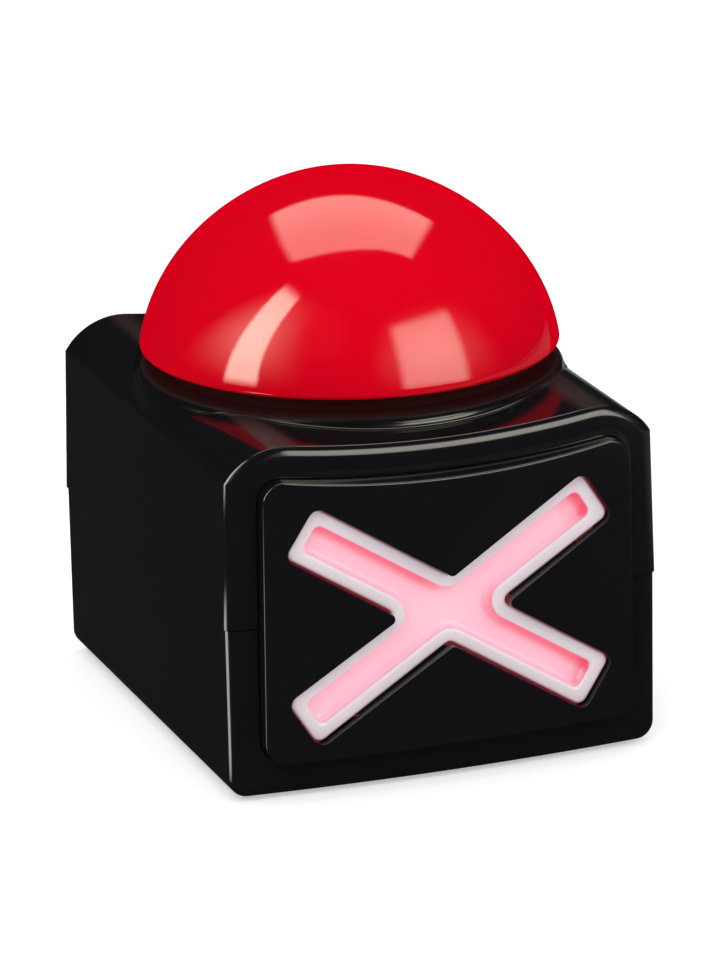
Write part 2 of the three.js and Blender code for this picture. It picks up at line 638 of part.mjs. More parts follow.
function makeBottomHousing() {
  const half = HALF_WIDTH;
  const top = SEAM_Z - SEAM_GAP;
  const low = housingSection();
  const below = box(-half - OVERRUN, half + OVERRUN, -HOUSING_DEPTH, HOUSING_DEPTH, -OVERRUN, top);
  const side = half - SEAM_STEP;
  const trim = box(-side, side, -HOUSING_DEPTH, BACK_Y - SEAM_STEP, -OVERRUN, top + OVERRUN);
  const frontTrim = bowedBlock(SEAM_STEP, half + OVERRUN, -OVERRUN, top + OVERRUN);
  const body = housingBody().intersect(below).intersect(trim).intersect(frontTrim);
  const lipOutside = inset(low, WALL + GAP);
  const lipInside = inset(low, WALL + GAP + TONGUE_WALL);
  const lipFrontY = FRONT_WALL_Y + GAP;
  const lipBackY = BACK_Y - WALL - GAP;
  const lipBand = box(-half, half, lipFrontY, lipBackY, SEAM_Z - WALL * 2, SEAM_Z + TONGUE_RISE);
  const lip = cut(
    drawnBack(lipOutside, lipFrontY, lipBackY),
    drawnBack(lipInside, lipFrontY + TONGUE_WALL, lipBackY - TONGUE_WALL),
  ).intersect(lipBand);
  let shell = cut(body, housingCavity());
  const collarRing = cut(
    box(-INNER_HALF - GAP, INNER_HALF + GAP, FRONT_WALL_Y - GAP, BACK_Y - WALL + GAP, top - WALL, top),
    box(-INNER_HALF + GAP + TONGUE_WALL, INNER_HALF - GAP - TONGUE_WALL, lipFrontY + TONGUE_WALL,
      lipBackY - TONGUE_WALL, top - WALL - OVERRUN, top + OVERRUN),
  );
  shell = join(shell, lip, collarRing);
  const columns = bossPlaces.map(([x, y]) => post(x, y, UNDERSIDE, top, BOSS_R).intersect(body));
  const bayX = BAY_HALF + BAY_WALL;
  const inBackWall = BACK_Y - WALL / 2;
  const rail = box(-RAIL_HALF, RAIL_HALF, RAIL_FRONT_Y, inBackWall, UNDERSIDE, FLOOR_Z + RAIL_RISE);
  const bay = box(-bayX, bayX, BAY_FRONT_Y - BAY_WALL, inBackWall, UNDERSIDE, BAY_TOP_Z + BAY_WALL);
  shell = join(shell, ...columns, rail.intersect(body), bay.intersect(body));
  const ringR = SPEAKER_R + GAP;
  const ringTopZ = FLOOR_Z + SPEAKER_RIM_HEIGHT;
  const speakerRing = cut(
    post(0, SPEAKER_Y, FLOOR_Z - WALL / 2, ringTopZ, ringR + BAY_WALL, ROUND / 2),
    post(0, SPEAKER_Y, FLOOR_Z, FLOOR_Z + OVERRUN, ringR, ROUND / 2),
  );
  shell = join(shell, speakerRing);
  const boxX = BOX_HALF + GAP;
  const doorX = DOOR_HALF + GAP;
  const grooveX = doorX + TONGUE_WIDTH;
  const doorSeatZ = DOOR_TOP_Z + GAP / 2;
  const cuts = [
    plateSeat(),
    box(-boxX, boxX, FRONT_WALL_Y, BOARD_BACK_Y, SEAM_Z - WALL * 2, SEAM_Z + OVERRUN),
    box(-BAY_HALF, BAY_HALF, BAY_FRONT_Y, BAY_BACK_Y, UNDERSIDE - OVERRUN, BAY_TOP_Z),
    box(-doorX, doorX, DOOR_FRONT_Y - GAP, BACK_Y + OVERRUN, UNDERSIDE - OVERRUN, doorSeatZ),
    box(-grooveX, grooveX, DOOR_FRONT_Y - GAP, BACK_Y + OVERRUN, TONGUE_Z - GAP, doorSeatZ),
  ];
  for (const [x, y] of bossPlaces) {
    cuts.push(post(x, y, UNDERSIDE - OVERRUN, top - BOSS_WEB, COUNTERBORE_R));
    cuts.push(post(x, y, UNDERSIDE, top + OVERRUN, PILOT_R + GAP / 2, SCREW_SIDES));
  }
  for (const [x, y] of footPlaces) {
    cuts.push(post(x, y, UNDERSIDE - OVERRUN, UNDERSIDE + FOOT_SINK, FOOT_R + GAP));
  }
  cuts.push(post(0, SPEAKER_Y, UNDERSIDE - OVERRUN, FLOOR_Z + OVERRUN, GRILLE_HOLE_R, SCREW_SIDES));
  for (let ring = 1; ring <= GRILLE_RINGS; ring += 1) {
    const holes = ring * 6;
    for (let i = 0; i < holes; i += 1) {
      const angle = 2 * Math.PI * i / holes;
      const x = ring * GRILLE_PITCH * Math.cos(angle);
      const y = SPEAKER_Y + ring * GRILLE_PITCH * Math.sin(angle);
      cuts.push(post(x, y, UNDERSIDE - OVERRUN, FLOOR_Z + OVERRUN, GRILLE_HOLE_R, SCREW_SIDES));
    }
  }
  const slotX = KNOB_X / 2 + GAP;
  const slotY = KNOB_Y / 2 + GAP;
  cuts.push(box(POWER_X - slotX, POWER_X + slotX, POWER_Y - slotY, POWER_Y + slotY + KNOB_TRAVEL,
    UNDERSIDE - OVERRUN, FLOOR_Z + OVERRUN));
  add('bottom_housing', cut(shell, ...cuts), BLACK);
}

function makeFrontPlate() {
  const y0 = CORNER_Y - FRONT_BOW - PLATE_PROUD;
  const near = (depth) => (x) => frontY(x) - PLATE_PROUD + depth;
  const placed = (outline, place) => outline.map(([x, z]) => [x, place(x), z]);
  const ring = (offset, place) => placed(plateOutline(offset, PLATE_SAG), place);
  const foot = plateOutline(0);
  const rings = [placed(foot, () => SEAT_Y), placed(foot, frontY)];
  const edge = arc(PLATE_EDGE_R, PLATE_EDGE_R, PLATE_EDGE_R, Math.PI, Math.PI * 1.5, FINE_ARC_STEPS);
  for (const [r, depth] of edge) {
    rings.push(ring(r, near(depth)));
  }
  rings.push(ring(PLATE_EDGE_R, () => y0 - OVERRUN));
  const block = skin(rings.reverse());
  const half = HALF_WIDTH + OVERRUN;
  const trimmed = block.intersect(bowedBlock(-PLATE_PROUD, half, -OVERRUN, DECK_Z));
  const hollow = drawnBack(plateOutline(PLATE_WALL, PLATE_SAG), y0 - OVERRUN, SEAT_Y + OVERRUN)
    .intersect(bowedBlock(PLATE_WALL - PLATE_PROUD, half, -OVERRUN, DECK_Z));
  const opening = crossBlock(CROSS_GAP, y0 - OVERRUN, SEAT_Y + OVERRUN);
  add('front_plate', cut(trimmed, hollow, opening), BLACK);
}

function makeCrossLens() {
  const shape = new THREE.Shape(crossOutline(-RIM_ROUND).map(([x, z]) => new THREE.Vector2(x, z)));
  const depth = SEAT_Y - RIM_Y - RIM_ROUND;
  const geometry = new THREE.ExtrudeGeometry(shape, {
    depth,
    bevelEnabled: true,
    bevelThickness: RIM_ROUND,
    bevelSize: RIM_ROUND,
    bevelSegments: FINE_ARC_STEPS,
  });
  geometry.rotateX(Math.PI / 2);
  geometry.translate(0, SEAT_Y, 0);
  const front = solid(geometry).intersect(crossBlock(OVERRUN, RIM_Y - OVERRUN, SEAT_Y));
  const floorY = RIM_Y + RECESS_DEPTH;
  const flange = crossBlock(FLANGE_WIDTH, SEAT_Y - FLANGE_THICKNESS, SEAT_Y);
  const lens = cut(
    join(front, flange),
    crossBlock(-RIM_WIDTH, RIM_Y - OVERRUN, floorY),
    crossBlock(-LENS_WALL, floorY + LENS_FLOOR, SEAT_Y + OVERRUN),
  );
  add('cross_lens', lens, LENS);
}

function makeLightBox() {
  const low = CROSS_Z - BOX_HALF_HEIGHT;
  const high = CROSS_Z + BOX_HALF_HEIGHT;
  const hole = BOX_HALF - BOX_WALL;
  const sleeve = cut(
    box(-BOX_HALF, BOX_HALF, FRONT_WALL_Y, BOX_BACK_Y, low, high),
    box(-hole, hole, FRONT_WALL_Y - OVERRUN, BOX_BACK_Y + OVERRUN, low + BOX_WALL, high - BOX_WALL),
  );
  add('light_box', sleeve, WHITE);
  add('cross_led_board', box(-BOX_HALF, BOX_HALF, BOX_BACK_Y, BOARD_BACK_Y, low, high), BOARD);
}

const ledPlaces = [[0, 0]];
for (const sx of [-1, 1]) {
  for (const sz of [-1, 1]) {
    const reach = ARM_LENGTH * LED_REACH_SHARE;
    ledPlaces.push([sx * reach * Math.cos(ARM_ANGLE), sz * reach * Math.sin(ARM_ANGLE)]);
  }
}

function makeLeds() {
  ledPlaces.forEach(([x, z], i) => {
    const profile = [
      [0, 0],
      [LED_FLANGE_R, 0],
      [LED_FLANGE_R, LED_FLANGE_HEIGHT],
      [LED_R, LED_FLANGE_HEIGHT],
      ...arc(0, LED_HEIGHT - LED_R, LED_R, 0, Math.PI / 2, FINE_ARC_STEPS),
    ];
    const outline = profile.map(([r, h]) => new THREE.Vector2(r, h));
    const geometry = new THREE.LatheGeometry(outline, SCREW_SIDES);
    geometry.rotateX(Math.PI);
    const mesh = add(`cross_led_${i + 1}`, geometry, LED_CLEAR);
    mesh.position.set(x, BOX_BACK_Y, CROSS_Z + z);
  });
}

// Dome

function domeProfile(offset, fromZ, steps) {
  const points = [];
  const radius = DOME_R - offset;
  const height = DOME_HEIGHT - offset;
  const start = Math.asin(Math.min(((fromZ - EQUATOR_Z) / height) ** (DOME_POWER / 2), 1));
  for (let i = 0; i <= steps; i += 1) {
    const angle = start + (Math.PI / 2 - start) * i / steps;
    const r = i === steps ? 0 : radius * Math.cos(angle) ** (2 / DOME_POWER);
    points.push([r, EQUATOR_Z + height * Math.sin(angle) ** (2 / DOME_POWER)]);
  }
  return points;
}

const insideZ = (r) => {
  const share = 1 - (r / (DOME_R - DOME_WALL)) ** DOME_POWER;
  return EQUATOR_Z + (DOME_HEIGHT - DOME_WALL) * share ** (1 / DOME_POWER);
};

function makeDome() {
  const outside = domeProfile(0, LIP_Z + LIP_R, DOME_STEPS);
  const inside = domeProfile(DOME_WALL, LIP_Z, DOME_STEPS / 2).reverse();
  const [edgeR] = outside[0];
  const lip = arc(edgeR - LIP_R, LIP_Z + LIP_R, LIP_R, -Math.PI / 2, 0, FINE_ARC_STEPS).slice(0, -1);
  let dome = turned([...inside, ...lip, ...outside]);
  const bossZ = CARRIER_Z + CARRIER_THICKNESS;
  const bossTopZ = insideZ(DOME_BOSS_CIRCLE_R + DOME_BOSS_R) + DOME_WALL / 2;
  const pilotTopZ = bossZ + STOP_SCREW_LENGTH + GAP;
  for (const [x, y] of domeBossPlaces) {
    dome = dome.add(post(x, y, bossZ, bossTopZ, DOME_BOSS_R));
    dome = dome.subtract(post(x, y, bossZ - OVERRUN, pilotTopZ, PILOT_R, SCREW_SIDES));
  }
  add('dome_button', dome, RED);
}

const plungerTopZ = MAIN_BOARD_Z + SWITCH_HEIGHT + PLUNGER_HEIGHT;

function makeCarrier() {
  const top = CARRIER_Z + CARRIER_THICKNESS;
  const postZ = SLEEVE_Z - GAP / 2;
  let carrier = join(
    post(0, 0, CARRIER_Z, top, CARRIER_R, ROUND),
    post(0, 0, plungerTopZ + GAP / 2, CARRIER_Z + CARRIER_THICKNESS / 2, STEM_R),
    ...guidePlaces.map(([x, y]) => post(x, y, postZ, CARRIER_Z + CARRIER_THICKNESS / 2, GUIDE_R)),
  );
  carrier = cut(
    carrier,
    ...domeBossPlaces.map(([x, y]) => (
      post(x, y, CARRIER_Z - OVERRUN, top + OVERRUN, PILOT_R, SCREW_SIDES)
    )),
    ...guidePlaces.map(([x, y]) => (
      post(x, y, postZ - OVERRUN, postZ + STOP_SCREW_LENGTH, STOP_SCREW_R + GAP, SCREW_SIDES)
    )),
  );
  add('dome_carrier', carrier, DARK);
  // Pan-headed screws that hold the carrier in the dome
  domeBossPlaces.forEach(([x, y], i) => {
    const screw = join(
      post(x, y, CARRIER_Z - SCREW_HEAD_HEIGHT, CARRIER_Z, SCREW_HEAD_R),
      post(x, y, CARRIER_Z - SCREW_HEAD_HEIGHT / 2, top + STOP_SCREW_LENGTH, SCREW_R, SCREW_SIDES),
    );
    add(`dome_screw_${i + 1}`, screw, STEEL);
  });
  // Wide-headed screws under the guide posts that stop the dome at the top of its travel
  guidePlaces.forEach(([x, y], i) => {
    const screw = join(
      post(x, y, postZ - STOP_THICKNESS, postZ, STOP_R),
      post(x, y, postZ - STOP_THICKNESS / 2, postZ + STOP_SCREW_LENGTH - GAP, STOP_SCREW_R, SCREW_SIDES),
    );
    add(`stop_screw_${i + 1}`, screw, STEEL);
  });
}

// A coil of round wire standing on z0 and reaching z1.
class Coil extends THREE.Curve {
  constructor(radius, turns, z0, z1) {
    super();
    Object.assign(this, { radius, turns, z0, z1 });
  }

  getPoint(t) {
    const angle = 2 * Math.PI * this.turns * t;
    const z = this.z0 + (this.z1 - this.z0) * t;
    return new THREE.Vector3(this.radius * Math.cos(angle), this.radius * Math.sin(angle), z);
  }
}

function coil(radius, turns, wire, z0, z1) {
  const section = new THREE.Shape();
  section.absarc(0, 0, wire, 0, 2 * Math.PI, false);
  return new THREE.ExtrudeGeometry(section, {
    curveSegments: WIRE_STEPS,
    steps: turns * COIL_STEPS,
    bevelEnabled: false,
    extrudePath: new Coil(radius, turns, z0 + wire, z1 - wire),
  });
}

function makeSprings() {
  guidePlaces.forEach(([x, y], i) => {
    const spring = coil(SPRING_R, SPRING_TURNS, SPRING_WIRE_R, DECK_Z + GAP / 3, CARRIER_Z - GAP / 3);
    const mesh = add(`return_spring_${i + 1}`, spring, STEEL);
    mesh.position.set(x, y, 0);
  });
}

function makeMainBoard() {
  const low = MAIN_BOARD_Z - BOARD_THICKNESS;
  const board = cut(
    box(-MAIN_BOARD_HALF, MAIN_BOARD_HALF, -MAIN_BOARD_HALF, MAIN_BOARD_HALF, low, MAIN_BOARD_Z),
    ...standoffPlaces.map(([x, y]) => (
      post(x, y, low - OVERRUN, MAIN_BOARD_Z + OVERRUN, PILOT_R, SCREW_SIDES)
    )),
  );
  add('main_board', board, BOARD);
  const switchTopZ = MAIN_BOARD_Z + SWITCH_HEIGHT;
  const body = cut(
    box(-SWITCH_HALF, SWITCH_HALF, -SWITCH_HALF, SWITCH_HALF, MAIN_BOARD_Z, switchTopZ),
    post(0, 0, switchTopZ - PLUNGER_DEPTH - GAP, switchTopZ + OVERRUN, PLUNGER_R + GAP),
  );
  add('push_switch_body', body, DARK);
  const plunger = post(0, 0, switchTopZ - PLUNGER_DEPTH + PRESS_TRAVEL, plungerTopZ, PLUNGER_R);
  add('push_switch_plunger', plunger, WHITE);
  const [crownShare, sideShare] = CHIP_SHARES;
  const chip = turned([
    [0, MAIN_BOARD_Z],
    [CHIP_R, MAIN_BOARD_Z],
    [CHIP_R * crownShare, MAIN_BOARD_Z + CHIP_HEIGHT * sideShare],
    [0, MAIN_BOARD_Z + CHIP_HEIGHT],
  ], SMALL_ROUND);
  const mesh = add('sound_chip', chip, DARK);
  mesh.position.set(MAIN_BOARD_HALF * CHIP_PLACE_SHARE, -MAIN_BOARD_HALF * CHIP_PLACE_SHARE, 0);
  standoffPlaces.forEach(([x, y], i) => {
    const screw = join(
      post(x, y, low - SCREW_HEAD_HEIGHT, low, SCREW_HEAD_R),
      post(x, y, low - SCREW_HEAD_HEIGHT / 2, MAIN_BOARD_Z + BOARD_SCREW_REACH, SCREW_R, SCREW_SIDES),
    );
    add(`board_screw_${i + 1}`, screw, STEEL);
  });
}

function makeSpeaker() {
  const z = FLOOR_Z;
  const inner = SPEAKER_R - SPEAKER_RIM;
  const basketTop = z + SPEAKER_HEIGHT - MAGNET_HEIGHT;
  const frame = turned([
    [inner, z],
    [SPEAKER_R, z],
    [SPEAKER_R, z + SPEAKER_RIM_HEIGHT],
    [SPEAKER_R - SPEAKER_RIM / 2, z + SPEAKER_RIM_HEIGHT],
    [SPEAKER_BASKET_R, basketTop],
    [0, basketTop],
    [0, basketTop - CONE_THICKNESS],
    [SPEAKER_BASKET_R - CONE_THICKNESS, basketTop - CONE_THICKNESS],
    [inner, z + CONE_THICKNESS],
    [inner, z],
  ], ROUND / 2);
  add('speaker_frame', frame, STEEL).position.set(0, SPEAKER_Y, 0);
  const dip = basketTop - z - CONE_THICKNESS * 3;
  const [capLowShare, rootShare, capHighShare] = CONE_DEPTH_SHARES;
  const cone = turned([
    [0, z + dip * capLowShare],
    [inner * CONE_CAP_SHARE, z + dip * rootShare],
    [inner - CONE_THICKNESS * 2 - GAP, z + CONE_THICKNESS / 2],
    [inner - CONE_THICKNESS - GAP * 2, z + CONE_THICKNESS],
    [inner * CONE_CAP_SHARE, z + dip],
    [0, z + dip * capHighShare],
  ], ROUND / 2);
  add('speaker_cone', cone, PAPER).position.set(0, SPEAKER_Y, 0);
  const magnet = post(0, SPEAKER_Y, basketTop, basketTop + MAGNET_HEIGHT, MAGNET_R, ROUND / 2);
  add('speaker_magnet', magnet, STEEL);
}

function makeBatteries() {
  const firstY = BAY_FRONT_Y + CELL_PITCH / 2 + GAP / 2;
  for (let i = 0; i < CELL_COUNT; i += 1) {
    const half = CELL_LENGTH / 2;
    const profile = [
      [0, -half],
      [CELL_R, -half],
      [CELL_R, half],
      [CELL_NUB_R, half],
      [CELL_NUB_R, half + CELL_NUB],
      [0, half + CELL_NUB],
    ];
    const outline = profile.map(([r, h]) => new THREE.Vector2(r, h));
    const geometry = new THREE.LatheGeometry(outline, SMALL_ROUND);
    const turn = i % 2 === 0 ? -1 : 1;
    geometry.rotateZ(turn * Math.PI / 2);
    const mesh = add(`battery_${i + 1}`, geometry, CELL);
    mesh.position.set(0, firstY + i * CELL_PITCH, CELL_Z);
  }
  // Contacts: flat at a cell's nub, with a coil at its flat end
  const contact = (name, side, cells) => {
    const outer = side * (BAY_HALF - GAP / 2);
    const inner = outer - side * CONTACT_THICKNESS;
    const y0 = firstY + cells[0] * CELL_PITCH - CONTACT_WIDTH / 2;
    const y1 = firstY + cells[cells.length - 1] * CELL_PITCH + CONTACT_WIDTH / 2;
    const z0 = CELL_Z - CONTACT_HEIGHT / 2;
    const z1 = CELL_Z + CONTACT_HEIGHT / 2;
    let plate = box(Math.min(outer, inner), Math.max(outer, inner), y0, y1, z0, z1);
    for (const cell of cells) {
      const nubSide = cell % 2 === 0 ? 1 : -1;
      if (nubSide !== side) {
        const reach = BAY_HALF - GAP / 2 - CONTACT_THICKNESS / 2 - CELL_LENGTH / 2 - GAP;
        const geometry = coil(COIL_R, COIL_TURNS, COIL_WIRE_R, 0, reach);
        geometry.rotateY(-side * Math.PI / 2);
        geometry.translate(outer - side * CONTACT_THICKNESS / 2, firstY + cell * CELL_PITCH, CELL_Z);
        plate = plate.add(solid(geometry));
      }
    }
    add(name, plate, STEEL);
  };
  contact('battery_contact_1', -1, [0]);
  contact('battery_contact_2', 1, [0, 1]);
  contact('battery_contact_3', -1, [1, 2]);
  contact('battery_contact_4', 1, [2]);
}

function makeDoor() {
  const back = BACK_Y - SEAM_STEP;
  const tongueX = DOOR_HALF + TONGUE_WIDTH;
  let door = join(
    box(-DOOR_HALF, DOOR_HALF, DOOR_FRONT_Y, back, UNDERSIDE, DOOR_TOP_Z),
    box(-tongueX, tongueX, DOOR_FRONT_Y, back - EDGE_R * 2, TONGUE_Z, DOOR_TOP_Z),
  );
  const gripX = GRIP_LENGTH / 2;
  for (let i = 0; i < GRIP_COUNT; i += 1) {
    const y = back - RAIL_WIDTH - i * GRIP_PITCH;
    const groove = box(-gripX, gripX, y - GRIP_WIDTH, y, UNDERSIDE - OVERRUN, UNDERSIDE + GRIP_DEPTH);
    door = door.subtract(groove);
  }
  add('battery_door', door, BLACK);
}

function makePowerSwitch() {
  const z0 = FLOOR_Z;
  const z1 = FLOOR_Z + POWER_BODY_HEIGHT;
  const middleY = POWER_Y + KNOB_TRAVEL / 2;
  const slotX = KNOB_X / 2 + GAP;
  const slotY = KNOB_Y / 2 + GAP;
  const sideX = POWER_BODY_X / 2;
  const endY = POWER_BODY_Y / 2;
  const body = cut(
    box(POWER_X - sideX, POWER_X + sideX, middleY - endY, middleY + endY, z0, z1),
    box(POWER_X - slotX, POWER_X + slotX, POWER_Y - slotY, POWER_Y + slotY + KNOB_TRAVEL,
      z0 - OVERRUN, z0 + KNOB_ROOT + GAP),
  );
  add('power_switch_body', body, STEEL);
  const knob = box(POWER_X - KNOB_X / 2, POWER_X + KNOB_X / 2, POWER_Y - KNOB_Y / 2, POWER_Y + KNOB_Y / 2,
    UNDERSIDE - KNOB_SHOWS, z0 + KNOB_ROOT);
  add('power_switch_knob', knob, DARK);
}

function makeScrewsAndFeet() {
  bossPlaces.forEach(([x, y], i) => {
    const seat = SEAM_Z - SEAM_GAP - BOSS_WEB;
    const screw = join(
      post(x, y, seat - SCREW_HEAD_HEIGHT, seat, SCREW_HEAD_R),
      post(x, y, seat - SCREW_HEAD_HEIGHT / 2, seat + HOUSING_SCREW_LENGTH, SCREW_R, SCREW_SIDES),
    );
    add(`housing_screw_${i + 1}`, screw, STEEL);
  });
  footPlaces.forEach(([x, y], i) => {
    const foot = turned([
      [0, 0],
      [FOOT_R - FOOT_HEIGHT / 3, 0],
      [FOOT_R, FOOT_HEIGHT / 2],
      [FOOT_R, FOOT_HEIGHT + FOOT_SINK],
      [0, FOOT_HEIGHT + FOOT_SINK],
    ], SMALL_ROUND);
    add(`foot_${i + 1}`, foot, RUBBER).position.set(x, y, 0);
  });
}

// A lead through points chosen by hand.
function lead(name, points) {
  const section = new THREE.Shape();
  section.absarc(0, 0, LEAD_R, 0, 2 * Math.PI, false);
  const places = points.map(([x, y, z]) => new THREE.Vector3(x, y, z));
  const path = new THREE.CatmullRomCurve3(places, false, 'centripetal');
  const geometry = new THREE.ExtrudeGeometry(section, {
    curveSegments: WIRE_STEPS,
    steps: points.length * WIRE_STEPS,
    bevelEnabled: false,
    extrudePath: path,
  });
  add(name, geometry, WIRE);
}

function makeLeads() {
  const under = MAIN_BOARD_Z - BOARD_THICKNESS;
  const speakerTop = FLOOR_Z + SPEAKER_HEIGHT;
  lead('speaker_lead', [
    [MAGNET_R / 2, SPEAKER_Y, speakerTop],
    [MAGNET_R / 2, SPEAKER_Y, speakerTop + MAGNET_HEIGHT],
    [MAGNET_R, SPEAKER_Y, SEAM_Z],
    [MAGNET_R, SPEAKER_Y, under - MAGNET_HEIGHT],
    [MAGNET_R, SPEAKER_Y, under],
  ]);
  lead('battery_lead', [
    [0, BAY_FRONT_Y + CELL_PITCH, BAY_TOP_Z + BAY_WALL],
    [0, BAY_FRONT_Y + CELL_PITCH, BAY_TOP_Z + BAY_WALL + MAGNET_HEIGHT],
    [0, MAGNET_R, SEAM_Z],
    [0, MAGNET_R, under - MAGNET_HEIGHT],
    [0, MAGNET_R, under],
  ]);
  lead('light_lead', [
    [-MAGNET_R, BOARD_BACK_Y, CROSS_Z + MAGNET_R],
    [-MAGNET_R, BOARD_BACK_Y + MAGNET_HEIGHT, CROSS_Z + MAGNET_R],
    [-MAGNET_R, SPEAKER_Y - MAGNET_HEIGHT, under - MAGNET_R],
    [-MAGNET_R, SPEAKER_Y, under - MAGNET_HEIGHT],
    [-MAGNET_R, SPEAKER_Y, under],
  ]);
}

makeTopHousing();
makeBottomHousing();
makeFrontPlate();
makeCrossLens();
makeLightBox();
makeLeds();
makeDome();
makeCarrier();
makeSprings();
makeMainBoard();
makeSpeaker();
makeBatteries();
makeDoor();
makePowerSwitch();
makeScrewsAndFeet();
makeLeads();

export default buzzer;
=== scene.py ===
import math

import bmesh
import bpy
from mathutils import Matrix, Vector
from mathutils.geometry import delaunay_2d_cdt


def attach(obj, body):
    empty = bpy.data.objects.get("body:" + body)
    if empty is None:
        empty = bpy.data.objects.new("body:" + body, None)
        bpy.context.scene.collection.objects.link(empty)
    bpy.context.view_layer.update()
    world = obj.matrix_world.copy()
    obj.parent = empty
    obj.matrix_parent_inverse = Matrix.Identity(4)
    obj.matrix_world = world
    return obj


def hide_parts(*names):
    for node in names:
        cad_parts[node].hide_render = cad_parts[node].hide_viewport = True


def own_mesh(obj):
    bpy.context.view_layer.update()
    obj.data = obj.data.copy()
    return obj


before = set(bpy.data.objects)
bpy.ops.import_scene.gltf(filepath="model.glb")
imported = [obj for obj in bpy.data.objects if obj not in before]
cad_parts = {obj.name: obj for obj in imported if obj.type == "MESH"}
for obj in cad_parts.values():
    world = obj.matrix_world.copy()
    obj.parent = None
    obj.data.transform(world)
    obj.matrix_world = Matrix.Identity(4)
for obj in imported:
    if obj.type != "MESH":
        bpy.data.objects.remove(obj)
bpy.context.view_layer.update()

# The quiz buzzer's looks. Lengths are in millimetres about the dome's axis, as in the part's
# source, and each mesh is brought to metres and to the frame's origin when it is made.
MM = 0.001
AXIS_Y = 3.65

# Housing
HALF = 60.0
BACK_Y = 67.5
CORNER_Y = -67.5
FRONT_BOW = 3.1
UNDERSIDE = 1.5
SEAM_Z = UNDERSIDE + 46.2
SEAM_GAP = 0.35
SEAM_STEP = 0.35
CREASE_Z = UNDERSIDE + 85.3
SHOULDER_Z = UNDERSIDE + 93.8
TOP_DIP = 2.4
SHOULDER_X = 41.0
TOP_DRAFT = 1.05
LOW_HALF = HALF - 0.5
BOTTOM_R = 4.8
BACK_R = 1.5
FRONT_R = 3.6
FRONT_TURN = 0.96
CREASE_R = 0.35
WALL = 2.4
SEAT_Y = CORNER_Y + 2.0
FRONT_WALL_Y = SEAT_Y + WALL
FLOOR_Z = UNDERSIDE + WALL
EXTRA = 10.0

# Collar, deck and dome
DECK_Z = UNDERSIDE + 94.4
DECK_UNDER_Z = DECK_Z - 2.5
DECK_R = 48.0
COLLAR_R = 57.3
COLLAR_DRAFT = 0.7
COLLAR_ROUND = 3.4
COLLAR_FLAT_R = 52.5
COLLAR_LOW_Z = DECK_Z - 12
FILLET_R = 1.4
FILLET_SIDE_R = 0.6
DOME_R = COLLAR_R - 0.8
RING_R = DOME_R - 6.7
RING_WALL = 1.8
RING_HEIGHT = 4.0
RING_BEVEL = 0.3
DOME_HEIGHT = 51.7
DOME_POWER = 1.9
DOME_WALL = 2.4
LIP_Z = DECK_Z + 4.5
LIP_R = 1.1
EQUATOR_Z = LIP_Z - 4.7
CARRIER_TOP_Z = DECK_Z + 13.9
GUIDE_CIRCLE = RING_R - 12.0
GUIDE_BORE_R = 4.0
SLEEVE_R = 6.2
SLEEVE_LOW_Z = DECK_Z - 14.6
STEM_BORE_R = 6.5
DOME_BOSS_CIRCLE = GUIDE_CIRCLE - 11
DOME_BOSS_R = 4.0
DOME_BOSS_TOP_Z = 136.0
SPRING_R = 7.2
SPRING_WIRE_R = 0.5
SPRING_TURNS = 3.5
SPRING_STEPS = 112
SPRING_LOW_Z = DECK_Z + 0.1
SPRING_HIGH_Z = DECK_Z + 11.3
BOARD_Z = DECK_Z - 20.5
STANDOFF_X = 21
STANDOFF_R = 3.4
PILOT_R = 1.6
PILOT_DEPTH = 7.3

# Front plate and cross
PLATE_TOP_HALF = HALF - 9.2
PLATE_LOW_HALF = HALF - 8.6
PLATE_LOW_Z = UNDERSIDE + 9.5
PLATE_HIGH_Z = UNDERSIDE + 83.4
PLATE_DIP = 2.5
PLATE_R = 6.0
PLATE_PROUD = 4.2
PLATE_SAG = 1.2
PLATE_EDGE_R = 0.5
SEAT_GAP = 0.3
SWELL_WIDTH = 1.7
SWELL_HEIGHT = 0.26
WINDOW_HALF = 43.8
WINDOW_MARGIN = 7
WINDOW_R = 5.0
CROSS_Z = (PLATE_LOW_Z + PLATE_HIGH_Z) / 2 - 0.7
ARM_END_X = PLATE_TOP_HALF - 9.8
ARM_END_RISE = (PLATE_HIGH_Z - PLATE_LOW_Z) / 2 - 10.9
ARM_ANGLE = math.atan2(ARM_END_RISE, ARM_END_X)
ARM_LENGTH = math.hypot(ARM_END_RISE, ARM_END_X)
ARM_HALF = 7.6
ARM_R = 2.6
NOTCH_R = 1.8
CROSS_GAP = 0.35
RIM_Y = CORNER_Y - 4.0
RECESS = 2.8
LENS_WALL = 1.8
LENS_FLANGE = 2.0
LENS_FLANGE_DEPTH = 1.4
LENS_EDGE_R = 0.9
LENS_RIM = 2.95
LENS_LIP_R = 0.75
LENS_DRAFT = 0.25
LENS_FLOOR_AT = 5.1
LENS_FLOOR_R = 1.0
LENS_SHARP_R = 0.45
LENS_SOFT_R = 1.9
LENS_RIM_MIDDLE = 1.6
LENS_GLOW_FROM = 0.2
LENS_GLOW_TO = 1.6
LENS_SHADE_REACH = 7.0
LENS_LIGHT = (0.8, -0.25, 0.55)

